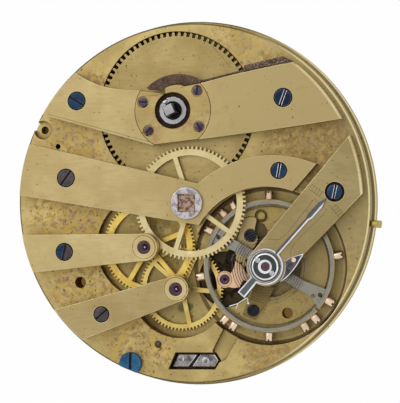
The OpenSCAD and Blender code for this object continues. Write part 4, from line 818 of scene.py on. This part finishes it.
@dataclass
class Softened:
    """A CAD node's shape with its edges broken, as a file and a polishing stick leave them."""

    node: str
    finish: Finish
    edge: Finish | None = None
    width_mm: float = 0.05
    segments: int = 2
    angle_deg: float = 35.0
    marks: tuple[FaceMark, ...] = ()
    slot_mm: float = 0.0
    chamfer: tuple[Zone, ...] = ()
    chamfer_mm: float = 0.2
    clamp: bool = True
    above_mm: float | None = None
    flat: bool = False
    merge_deg: float = 0.4
    level: float = 0.9999

    def build(self) -> Piece:
        """Copy the node, merge its corners, break its edges and dress it.

        Returns:
            The piece that stands for the node.
        """
        piece = linked(f"{self.node}_dressed", frame["nodes"][self.node].data.copy())
        pick(piece)
        with editing():
            bpy.ops.mesh.select_mode(type="EDGE")
            bpy.ops.mesh.select_all(action="SELECT")
            bpy.ops.mesh.remove_doubles(threshold=MERGE_M)
            bpy.ops.mesh.dissolve_degenerate(threshold=MERGE_M)
            bpy.ops.mesh.dissolve_limited(angle_limit=math.radians(self.merge_deg),
                                          use_dissolve_boundaries=False)
            bpy.ops.mesh.select_all(action="DESELECT")
        piece.data.materials.clear()
        for finish in (self.finish, self.edge or self.finish):
            piece.data.materials.append(finish.material())
        if self.chamfer:
            self._cut_chamfer(piece)
        if self.width_mm > 0:
            self._break_edges(piece)
        bpy.ops.object.shade_smooth_by_angle(angle=math.radians(self.angle_deg))
        for face in piece.data.polygons:
            face.use_smooth = not (self.flat and abs(face.normal.z) > self.level)
        apply("WEIGHTED_NORMAL", weight=100, keep_sharp=True)
        self._mark(piece)
        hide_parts(self.node)
        return attach(piece, self.node)

    def _sharp_edges(self, mesh: bpy.types.Mesh) -> Iterator[tuple[bpy.types.MeshEdge, Vector, Vector]]:
        """Find the mesh's sharp edges.

        Args:
            mesh: The mesh that is searched.

        Yields:
            Each sharp edge with its two ends in millimetres.
        """
        sides: dict[tuple[int, int], list[Vector]] = {}
        for face in mesh.polygons:
            for key in face.edge_keys:
                sides.setdefault(key, []).append(face.normal)
        for edge in mesh.edges:
            normals = sides.get(edge.key, [])
            if len(normals) == 2 and normals[0].angle(normals[1], 0.0) > math.radians(self.angle_deg):
                first, second = (mesh.vertices[i].co / MM for i in edge.vertices)
                yield edge, first, second

    def _break_edges(self, piece: Piece) -> None:
        """Round the sharp edges of the merged copy, or only those above a height where one is given."""
        weights = piece.data.attributes.new("bevel_weight_edge", "FLOAT", "EDGE")
        for edge, first, second in self._sharp_edges(piece.data):
            if self.above_mm is None or min(first.z, second.z) > self.above_mm:
                weights.data[edge.index].value = 1.0
        apply("BEVEL", width=self.width_mm * MM, segments=self.segments, use_clamp_overlap=self.clamp,
              material=1, limit_method="WEIGHT")

    def _cut_chamfer(self, piece: Piece) -> None:
        """Cut a wider slope along the merged copy's edges that have both ends in a zone of the chamfer."""
        for edge, *ends in self._sharp_edges(piece.data):
            edge.select = any(all(zone(end) for end in ends) for zone in self.chamfer)
        with editing():
            bpy.ops.mesh.bevel(offset=self.chamfer_mm * MM, segments=1, affect="EDGES", material=1)
            bpy.ops.mesh.select_all(action="DESELECT")

    def _mark(self, piece: Piece) -> None:
        """Give the finished shape's marked faces and screw slots their own finish."""
        for mark in self.marks:
            piece.data.materials.append(mark.finish.material())
            place = len(piece.data.materials) - 1
            for face in piece.data.polygons:
                if any(test(face.center / MM, face.normal) for test in mark.tests):
                    face.material_index = place
        if self.slot_mm > 0:
            # Painted shade: the screw slots are painted dark.
            piece.data.materials.append(Finish.OIL.material())
            for faces in islands(piece.data):
                self._blacken_slot(piece.data, faces, len(piece.data.materials) - 1)

    def _blacken_slot(self, mesh: bpy.types.Mesh, faces: Faces, place: int) -> None:
        """Paint the slot of one screw dark, as painted shade.

        Args:
            mesh: The mesh of all screws.
            faces: The faces of this screw.
            place: Slot of the dark material.
        """
        corners = [mesh.vertices[i].co for face in faces for i in face.vertices]
        top = max(c.z for c in corners)
        foot = min(c.z for c in corners)
        tip = [c for c in corners if c.z < foot + 0.02 * MM]
        axis = sum((c.xy for c in tip), Vector((0.0, 0.0))) / len(tip)
        reach = 0.5 * max((c.xy - axis).length for c in corners)
        for face in faces:
            sunk = (top - face.center.z) / MM
            if self.width_mm * 0.9 < sunk < self.slot_mm * 1.1 and (face.center.xy - axis).length < reach:
                face.material_index = place


@dataclass
class Studio:
    """Camera, soft light and a pale floor, with painted shade under the movement."""

    tilt_deg: float = 13.21
    distance_mm: float = 216.56
    target_mm: tuple[float, float, float] = (0.0, 0.0, 3.8)
    image_px: tuple[int, int] = (400, 403)
    focal_px: float = 1847.34
    principal_px: tuple[float, float] = (190.85, 203.15)
    sensor_mm: float = 36.0
    clip_m: Place = (0.01, 10.0)
    floor_mm: float = 900.0
    covered_mm: float = 20.3
    sky_strength: float = 0.42
    glow_share: float = 0.985
    # Painted shade under the movement: near black, with a brown glow at the floor spots seen through two holes.
    painted_hole_glow: Colour = rgb(110, 82, 40)
    painted_floor_shade: Colour = rgb(16, 12, 8)
    holes_mm: tuple[Place, ...] = ((-14.4, -9.43), (10.4, -12.79))
    hole_edge_mm: Place = (1.6, 2.2)
    sky: Colour = (1.0, 0.99, 0.97)

    def camera(self) -> None:
        """Set the camera where the photograph was taken from."""
        data = bpy.data.cameras.new("photo_camera")
        wide, high = self.image_px
        data.sensor_fit = "HORIZONTAL"
        data.sensor_width = self.sensor_mm
        data.lens = self.focal_px / wide * self.sensor_mm
        data.shift_x = (wide / 2 - self.principal_px[0]) / wide
        data.shift_y = (self.principal_px[1] - high / 2) / wide
        data.clip_start, data.clip_end = self.clip_m
        tilt = math.radians(self.tilt_deg)
        away = Vector((math.sin(tilt), 0.0, math.cos(tilt))) * self.distance_mm
        camera = linked("photo_camera", data)
        camera.location = (Vector(self.target_mm) + away) * MM
        camera.rotation_euler = (0.0, tilt, 0.0)
        bpy.context.scene.camera = camera

    def lamp(self, name: str, place_mm: Sequence[float], size_mm: float, watts: float) -> None:
        """Add a square soft box that faces the movement.

        Args:
            name: Name of the lamp.
            place_mm: Its place.
            size_mm: Its side.
            watts: Its power.
        """
        data = bpy.data.lights.new(name, "AREA")
        data.size = size_mm * MM
        data.energy = watts
        data.color = self.sky
        lamp = linked(name, data)
        lamp.location = Vector(place_mm) * MM
        lamp.rotation_euler = (-lamp.location).to_track_quat("-Z", "Y").to_euler()

    def world(self) -> None:
        """Give even light from all round, before a white backdrop."""
        world = bpy.data.worlds.new("studio")
        bpy.context.scene.world = world
        world.use_nodes = True
        w = Writer(world.node_tree)
        sky, white = (w.node("ShaderNodeBackground", links={"Color": colour, "Strength": strength})
                      for colour, strength in (((0.8, 0.8, 0.79, 1), self.sky_strength), ((1, 1, 1, 1), 1.0)))
        w.backdrop(1.0, sky, white, "World Output")

    def floor(self) -> None:
        """Lay a white floor under the lowest point of the movement, with painted shade where the movement covers
        it and a brown glow where two holes in the plate show it.
        """
        deselect()
        bpy.ops.mesh.primitive_plane_add(size=self.floor_mm * MM, location=(0, 0, CAD_BOX[0][2]))
        ground = bpy.context.object
        ground.name = "floor"
        p = Painter("floor_white")
        open_floor = p.band(p.away((0, 0)), self.covered_mm, self.covered_mm + 1.0)
        # Painted shade: the floor under the movement is dark, brown where holes show it, and glows so to the
        # camera.
        shade_under_movement: Value = self.painted_floor_shade
        for place in self.holes_mm:
            shade_under_movement = p.mix(1.0 - p.band(p.away(place), *self.hole_edge_mm), shade_under_movement, self.painted_hole_glow)
        p.put(Base_Color=p.mix(open_floor, shade_under_movement, (0.9, 0.9, 0.9)), Roughness=0.8)
        lit = p.mix(open_floor, shade_under_movement, (1.0, 1.0, 1.0))
        glow = p.node("ShaderNodeEmission", links={"Color": lit, "Strength": 1.0})
        p.backdrop(self.glow_share, Shade(p, p.shader.outputs[0]), glow, "Material Output")
        ground.data.materials.append(p.material)

    def build(self) -> None:
        """Set up the whole studio."""
        bpy.context.scene.view_settings.view_transform = "Standard"
        self.camera()
        self.world()
        self.lamp("key_light", (-170, 150, 260), 200, 0.2)
        self.lamp("fill_light", (320, -160, 380), 320, 0.05)
        self.floor()


@dataclass
class FrameWork:
    """The plate, the bars and the cocks."""

    seat_mm: float = 1.25
    seat_depth_mm: Place = (0.07, 0.8)
    rims_mm: tuple[Place, Place] = ((21.1, 3.8), (21.5, 1.3))
    end_radius_mm: float = 20.5
    lip_mm: float = 0.02

    def bar(self, node: str, finish: Finish, sloped: bool = False, clamp: bool = False,
            edge: Finish = Finish.BAR_EDGE) -> Piece:
        """Dress one bar.

        Args:
            node: The bar.
            finish: Finish of its faces.
            sloped: Whether its right end, over the plate's rim, has a wide slope.
            clamp: Whether all its edges are broken, kept from crossing, and not just the upper ones.
            edge: Finish of its broken edges.

        Returns:
            The dressed bar.
        """
        top = top_mm("barrel_bridge")
        shallow, deep = self.seat_depth_mm
        seats = Zone(tuple(SCREWS_MM.values()), below(self.seat_mm), (top - deep, top - shallow), above(-0.1))
        end = Zone(reach_mm=about(self.end_radius_mm, 4 * NEAR_MM), z_mm=above(top - NEAR_MM),
                   right_of_mm=0.0)
        # Painted shade: the screw seats are painted dark.
        return Softened(node, finish, edge, marks=(FaceMark(Finish.OIL, (seats,)),),
                        chamfer=(end,) if sloped else (), clamp=clamp,
                        above_mm=None if clamp else top - self.lip_mm).build()

    def build(self) -> list[Piece]:
        """Return the dressed pieces."""
        rims = tuple(Zone(reach_mm=about(radius, 3 * NEAR_MM), z_mm=about(z, NEAR_MM))
                     for radius, z in self.rims_mm)
        plate = Softened("main_plate", Finish.PLATE, Finish.PLATE_EDGE, 0.06, chamfer=rims, chamfer_mm=0.14,
                         above_mm=self.rims_mm[0][1] - self.lip_mm, flat=True)
        return [plate.build(),
                self.bar("barrel_bridge", Finish.BAR, True),
                self.bar("ratchet_cover", Finish.COVER, edge=Finish.COVER_EDGE),
                self.bar("balance_cock", Finish.COCK, True),
                self.bar("escape_cock", Finish.COCK_FOOT, clamp=True),
                self.bar("pallet_cock", Finish.BAR, clamp=True),
                self.bar("centre_bridge", Finish.BAR),
                self.bar("third_wheel_bridge", Finish.THIRD_BAR),
                self.bar("fourth_wheel_bridge", Finish.FOURTH_BAR)]


@dataclass
class Fasteners:
    """Screws, pins and the block in its slot."""

    smoked_screws: tuple[str, ...] = ("centre_left", "fourth")
    half_smoked: str = "third"
    glinting_screws: tuple[str, ...] = ("barrel_right", "centre_right", "cock")
    glint_facing: Place = (0.1, 0.97)
    head_mm: float = 1.2
    glint_mm: float = 0.7
    smoke_from_mm: float = 0.05
    brass_screw_reach_mm: float = 2.5
    cut_mm: Place = (0.4, 0.6)

    def build(self) -> list[Piece]:
        """Return the dressed pieces."""
        edge, bright = Finish.SCREW_EDGE, Finish.STEEL_EDGE
        head = below(self.head_mm)
        half = SCREWS_MM[self.half_smoked]
        blue_lost = Zone([SCREWS_MM[name] for name in self.smoked_screws], head, facing=LEVEL)
        half_lost = Zone((half,), head, facing=LEVEL, right_of_mm=half[0] + self.smoke_from_mm)
        # Painted highlight: the slot edges of three screws take the bright steel, as a glint.
        slots = Zone([SCREWS_MM[name] for name in self.glinting_screws], below(self.glint_mm),
                     facing=self.glint_facing)
        outlying = Zone((axis_mm("balance_swing"),), above(self.brass_screw_reach_mm))
        low, high = (top_mm("slot_block") - depth for depth in self.cut_mm[::-1])
        smoked = FaceMark(Finish.SMOKE, (blue_lost, half_lost))
        glint = FaceMark(bright, (slots,))
        brass = FaceMark(Finish.SCREW_GOLD, (outlying,))
        # Painted shade: the floor of the block's cut is painted dark.
        cut = FaceMark(Finish.OIL, (Zone(z_mm=(low, high), facing=above(0.9)),))
        return [piece.build() for piece in (
            Softened("bar_screws", Finish.BLUE, edge, 0.06, marks=(smoked, glint), slot_mm=0.23, clamp=False),
            Softened("cock_screw", Finish.BLUE, edge, 0.06, marks=(glint,), slot_mm=0.23),
            Softened("ratchet_cover_screws", Finish.PURPLE, None, 0.02, slot_mm=0.08),
            Softened("escapement_screws", Finish.NIGHT, edge, 0.03, slot_mm=0.12),
            Softened("case_screw", Finish.SKY, Finish.BLUE, 0.05, slot_mm=0.25),
            Softened("cap_screws", Finish.STEEL, bright, 0.02, marks=(brass,)),
            Softened("case_pin", Finish.PIN_BRASS, None, 0.08),
            Softened("plate_pin", Finish.GREY, None, 0.08),
            Softened("slot_block", Finish.BLOCK, bright, 0.07, marks=(cut,), clamp=False),
            Softened("minute_post", Finish.STEEL, None, 0.05))]


@dataclass
class Jewelling:
    """Jewels, their settings and the cap over the balance."""

    sink_mm: float = 0.86
    cap_edge_mm: float = 1.42
    rose_mm: float = 1.5

    def build(self) -> list[Piece]:
        """Return the dressed pieces."""
        bright = Finish.STEEL_EDGE
        balance = (axis_mm("balance_swing"),)
        outside = above(self.cap_edge_mm)
        brim = Zone(balance, outside, above(top_mm("end_cap") - NEAR_MM))
        # Painted highlight: the cap's sloping faces take the bright steel.
        slopes = FaceMark(bright, tuple(Zone(balance, reach, facing=SLOPING)
                                        for reach in (below(self.sink_mm), outside)))
        rose = FaceMark(Finish.ROSE, (Zone((axis_mm("escape_turn"),), below(self.rose_mm)),))
        return [piece.build() for piece in (
            Softened("jewel_settings", Finish.SETTING, Finish.BAR_EDGE, 0.06, marks=(rose,)),
            *(Softened(node, Finish.RUBY) for node in ("train_jewels", "lower_jewels", "balance_jewel")),
            Softened("end_stone", Finish.GARNET, None, 0.1, 3),
            Softened("end_cap", Finish.BLACK, bright, 0.04, marks=(slopes,), chamfer=(brim,),
                     chamfer_mm=0.06),
            Softened("stud_carrier", Finish.STUD, bright, 0.09, 1, clamp=False),
            Softened("hairspring_stud", Finish.STEEL, None, 0.04))]


@dataclass
class Train:
    """Barrel, winding work and wheels."""

    wheels: tuple[tuple[str, Finish], ...] = (
        ("centre_wheel", Finish.WHEEL), ("third_wheel", Finish.THIRD), ("fourth_wheel", Finish.FOURTH),
        ("minute_wheel", Finish.WHEEL), ("hour_wheel", Finish.WHEEL))
    steels: tuple[str, ...] = ("centre_pinion", "cannon_pinion", "third_pinion", "fourth_pinion")
    escapement: tuple[str, ...] = ("escape_wheel", "escape_pinion", "pallet_lever", "pallet_arbor")
    barrel_teeth_mm: float = 3.24
    moat_mm: float = 1.08
    ring_mm: float = 0.96
    ring_depth_mm: float = 0.16
    square_mm: float = 1.08
    square_depth_mm: Place = (0.1, 0.4)

    def rusty(self, at: Vector, normal: Vector) -> bool:
        """Tell whether a face is of the square recess of the setting arbor."""
        shallow, deep = self.square_depth_mm
        depth = top_mm("setting_arbor") - at.z
        inside = max(abs(at.x), abs(at.y)) < self.square_mm
        return inside and depth < deep and normal.z > -0.5 and (normal.z < 0.99 or depth > shallow)

    def arbor(self) -> Softened:
        """Return the barrel arbor with its bright ring and the dark moat around its square."""
        axis = (axis_mm("winding_turn"),)
        low, high = (corner.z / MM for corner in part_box("barrel_bridge"))
        ring_z = high - self.ring_depth_mm
        # Painted shade: the moat round the square is painted dark.
        zones = ((Finish.SHARD, Zone(axis, above(self.ring_mm), above(ring_z))),
                 (Finish.OIL, Zone(axis, below(self.moat_mm), (low + 0.9, ring_z - 0.05))),
                 (Finish.BLACK, Zone(z_mm=above(high + 0.1), facing=below(LEVEL[0]))))
        return Softened("barrel_arbor", Finish.STEEL, Finish.STEEL_EDGE, 0.06,
                        marks=tuple(FaceMark(finish, (zone,)) for finish, zone in zones))

    def build(self) -> list[Piece]:
        """Return the dressed pieces."""
        # Painted shade on the barrel's downward faces and on everything below the top of its teeth.
        barrel_shade_mark = FaceMark(Finish.BARREL_LOW, (Zone(facing=below(0.5)), Zone(z_mm=below(self.barrel_teeth_mm))))
        rust = FaceMark(Finish.RUSTY, (self.rusty,))
        return [piece.build() for piece in (
            Softened("barrel_drum", Finish.BARREL, Finish.BAR_EDGE, 0.025, 1, marks=(barrel_shade_mark,)),
            Softened("barrel_lid", Finish.BARREL, Finish.BAR_EDGE, 0.05),
            Softened("mainspring", Finish.WIRE, None, 0.0),
            self.arbor(),
            Softened("ratchet_wheel", Finish.DARK, None, 0.04),
            Softened("click_spring", Finish.GREY, None, 0.04),
            Softened("setting_arbor", Finish.DISC, Finish.DISC_EDGE, 0.12, marks=(rust,), clamp=False),
            *(Softened(node, finish, None, 0.03) for node, finish in self.wheels),
            *(Softened(node, Finish.STEEL, Finish.STEEL_EDGE, 0.02) for node in self.steels),
            *(Softened(node, Finish.DARK, None, 0.02) for node in self.escapement),
            Softened("pallet_stones", Finish.GARNET, None, 0.02))]


@dataclass
class Balance:
    """Balance wheel with its screws, spring and regulator."""

    inner_coil_mm: float = 0.86
    coils: int = 12
    steps_per_coil: int = 48
    strip_mm: float = 0.035
    rim_mm: float = 7.1
    rim_in_mm: float = 7.15
    ring_mm: float = 2.3
    shade_side: Place = (-0.7, 0.7)
    facet_mm: float = 0.17
    tip_mm: float = 9.6
    wires_mm: tuple[tuple[Place, ...], ...] = (
        ((4.72, -11.99), (5.73, -11.68), (6.79, -10.98)), ((5.55, -12.26), (5.73, -11.68)),
        ((6.97, -11.6), (6.85, -11.0)))
    wire_z_mm: float = 4.3
    wire_r_mm: float = 0.055
    ball_mm: Place = (6.97, -11.6)
    ball_r_mm: float = 0.15
    ball_press: float = 0.7

    def spring(self) -> Piece:
        """Wind the hairspring as fine as the real one, in the space of its plain strip.

        Returns:
            The spring.
        """
        low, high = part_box("hairspring")
        axis = axis_mm("balance_swing") * MM
        corners = frame["nodes"]["hairspring"].data.vertices
        far = max((corner.co.xy - axis for corner in corners), key=lambda way: way.length)
        inner = self.inner_coil_mm * MM
        end = math.atan2(far.y, far.x)
        steps = self.coils * self.steps_per_coil
        middle = (low.z + high.z) / 2
        line = []
        for share in (index / steps for index in range(steps + 1)):
            radius = inner + (far.length - inner) * share
            turn = end - math.tau * self.coils * (1 - share)
            line.append((axis.x + radius * math.cos(turn), axis.y + radius * math.sin(turn), middle))
        piece = drawn("hairspring_wound", [line], extrude=(high.z - low.z) / 2)
        apply("SOLIDIFY", thickness=self.strip_mm * MM, offset=0.0)
        piece.data.materials.append(Finish.WIRE.material())
        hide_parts("hairspring")
        return attach(piece, "hairspring")

    def curb_wire(self) -> Piece:
        """Bend the fine forked wire that leaves the regulator's tail.

        Returns:
            The wire.
        """
        height = self.wire_z_mm * MM
        lines = [[(x * MM, y * MM, height) for x, y in corners] for corners in self.wires_mm]
        piece = drawn("curb_wire", lines, bevel_depth=self.wire_r_mm * MM, bevel_resolution=2,
                      use_fill_caps=True)
        ball = (self.ball_mm[0] * MM, self.ball_mm[1] * MM, height)
        with editing():
            bpy.ops.mesh.select_all(action="DESELECT")
            bpy.ops.mesh.primitive_uv_sphere_add(segments=20, ring_count=12, radius=self.ball_r_mm * MM,
                                                 location=ball)
            bpy.ops.transform.resize(value=(1.0, 1.0, self.ball_press), center_override=ball)
        bpy.ops.object.shade_smooth_by_angle(angle=math.radians(50))
        piece.data.materials.append(Finish.STEEL_EDGE.material())
        return attach(piece, "regulator")

    def painted_shading(self, at: Vector, normal: Vector) -> bool:
        """Tell whether a facet of the regulator's pointer lies away from the light, where it takes painted shade.
        """
        axis = axis_mm("balance_swing")
        pointer = Zone((axis,), above(self.ring_mm), facing=SLOPING, right_of_mm=axis.x)
        return pointer(at, normal) and normal.xy.dot(Vector(self.shade_side)) > 0.3

    def build(self) -> list[Piece]:
        """Return the dressed pieces."""
        bright = Finish.STEEL_EDGE
        axis = (axis_mm("balance_swing"),)
        rim = FaceMark(Finish.RIM, (Zone(axis, above(self.rim_mm), facing=LEVEL),))
        # Painted shade: the pointer's facets away from the light take darker steel.
        painted_shading = FaceMark(Finish.DARK_SIDE, (self.painted_shading,))
        inner = Zone(axis, about(self.rim_in_mm, 3 * NEAR_MM), above(top_mm("balance_wheel") - NEAR_MM))
        upper = Zone(axis, below(self.tip_mm), above(top_mm("regulator") - NEAR_MM))
        made = [piece.build() for piece in (
            Softened("balance_wheel", Finish.ARM, Finish.RIM_EDGE, 0.0, marks=(rim,), chamfer=(inner,),
                     chamfer_mm=0.09),
            Softened("balance_rim", Finish.RIM_BRASS, None, 0.04),
            Softened("balance_screws", Finish.SCREW_GOLD, None, 0.04),
            *(Softened(node, Finish.STEEL, bright, 0.03) for node in ("balance_staff", "impulse_roller")),
            Softened("impulse_pin", Finish.GARNET, None, 0.02),
            Softened("hairspring_collet", Finish.WHEEL, None, 0.03))]
        regulator = Softened("regulator", Finish.REGULATOR, bright, 0.0, 1, marks=(painted_shading,), chamfer=(upper,),
                             chamfer_mm=self.facet_mm)
        return made + [self.spring(), regulator.build(), self.curb_wire()]


@dataclass
class Scribing:
    """Fine lines cut with a graver: the index scale and frame on the cock, and two scribed lines."""

    arcs_mm: Place = (10.2, 10.85)
    gaps_deg: Place = (1.3, 4.2)
    from_deg: float = 33.2
    to_deg: float = 60.2
    ticks: int = 15
    steps: int = 22
    frame_deg: float = 48.0
    frame_mm: tuple[Place, ...] = (
        (2.55, 1.92), (3.0, 1.25), (3.41, 0.9), (4.44, 0.69), (9.58, 1.0), (9.6, 0.3))
    scribed_mm: tuple[tuple[str, Place, Place], ...] = (
        ("barrel_drum", (2.5, 18.45), (4.9, 15.7)), ("barrel_bridge", (-17.2, 10.62), (-4.35, 7.1)))
    line_mm: float = 0.12
    deep_mm: float = 0.016
    proud_share: float = 0.3
    foot_share: tuple[float, float, float] = (0.96, 0.3, 1.0)

    def graver_cut(self) -> Piece:
        """Return one cut of unit length along X, narrow at its bottom."""
        deselect()
        bpy.ops.mesh.primitive_cube_add(size=1.0)
        cut = bpy.context.object
        for face in cut.data.polygons:
            face.select = face.normal.z < -0.5
        with editing():
            bpy.ops.mesh.select_mode(type="FACE")
            bpy.ops.transform.resize(value=self.foot_share)
        return cut

    def lay(self, cut: Piece, start: Vector, end: Vector, top: float) -> Piece:
        """Copy the cut between two places.

        Args:
            cut: The cut of unit length.
            start: One end in millimetres.
            end: The other end in millimetres.
            top: Height of the face that is cut, in metres.

        Returns:
            The copy, with its place in its mesh.
        """
        step = end - start
        line = linked("graver_line", cut.data.copy())
        size = Matrix.Diagonal((step.length * MM, self.line_mm * MM, self.deep_mm * MM, 1.0))
        turn = Matrix.Rotation(math.atan2(step.y, step.x), 4, "Z")
        middle = (start + end) / 2 * MM
        height = top - self.deep_mm * MM * self.proud_share
        line.data.transform(Matrix.Translation((middle.x, middle.y, height)) @ turn @ size)
        return line

    def joined(self, lines: list[Piece], name: str, carrier: str) -> Piece:
        """Join lines into one piece that rides with the node it is cut into.

        Args:
            lines: The lines.
            name: Name of the piece.
            carrier: The node that carries it.

        Returns:
            The piece.
        """
        pick(*lines)
        bpy.ops.object.join()
        piece = bpy.context.object
        piece.name = name
        piece.data.materials.append(Finish.INK.material())
        return attach(piece, carrier)

    def turn_at(self, share: float) -> float:
        """Return the direction at a share of the scale's length, in degrees."""
        return self.from_deg + (self.to_deg - self.from_deg) * share

    def strokes(self) -> Iterator[tuple[Vector, Vector]]:
        """Lay out the index scale and the frame beside its pointer.

        Yields:
            The two ends of each line, in millimetres.
        """
        axis = axis_mm("balance_swing")
        middle = (self.from_deg + self.to_deg) / 2

        def polar(radius: float, degrees: float) -> Vector:
            """Return a place about the balance axis."""
            turn = math.radians(degrees)
            return axis + Vector((math.cos(turn), math.sin(turn))) * radius
        for index in range(self.ticks):
            turn = self.turn_at(index / (self.ticks - 1))
            if abs(turn - middle) > max(self.gaps_deg):
                yield polar(self.arcs_mm[0], turn), polar(self.arcs_mm[1], turn)
        for radius, gap in zip(self.arcs_mm, self.gaps_deg):
            for index in range(self.steps):
                first, second = (self.turn_at((index + part) / self.steps) for part in (0, 1))
                if min(abs(first - middle), abs(second - middle)) > gap:
                    yield polar(radius, first), polar(radius, second)
        turned = Matrix.Rotation(math.radians(self.frame_deg), 2)
        for side in (1, -1):
            corners = [axis + turned @ Vector((along, across * side)) for along, across in self.frame_mm]
            yield from zip(corners, corners[1:])

    def build(self) -> list[Piece]:
        """Return the engraved pieces."""
        cut = self.graver_cut()
        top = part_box("balance_cock")[1].z
        lines = [self.lay(cut, start, end, top) for start, end in self.strokes()]
        made = [self.joined(lines, "index_scale", "balance_cock")]
        for carrier, start, end in self.scribed_mm:
            scribed = self.lay(cut, Vector(start), Vector(end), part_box(carrier)[1].z)
            made.append(self.joined([scribed], f"{carrier}_scribe", carrier))
        bpy.data.objects.remove(cut)
        return made


def main() -> None:
    """Build the studio and every sub-assembly in order."""
    logging.basicConfig(level=logging.INFO, format="%(message)s")
    Studio().build()
    for part in (FrameWork(), Fasteners(), Jewelling(), Train(), Balance(), Scribing()):
        for piece in part.build():
            LOG.info("%s: %s, %d faces", type(part).__name__, piece.name, len(piece.data.polygons))


if __name__ == "__main__":
    main()
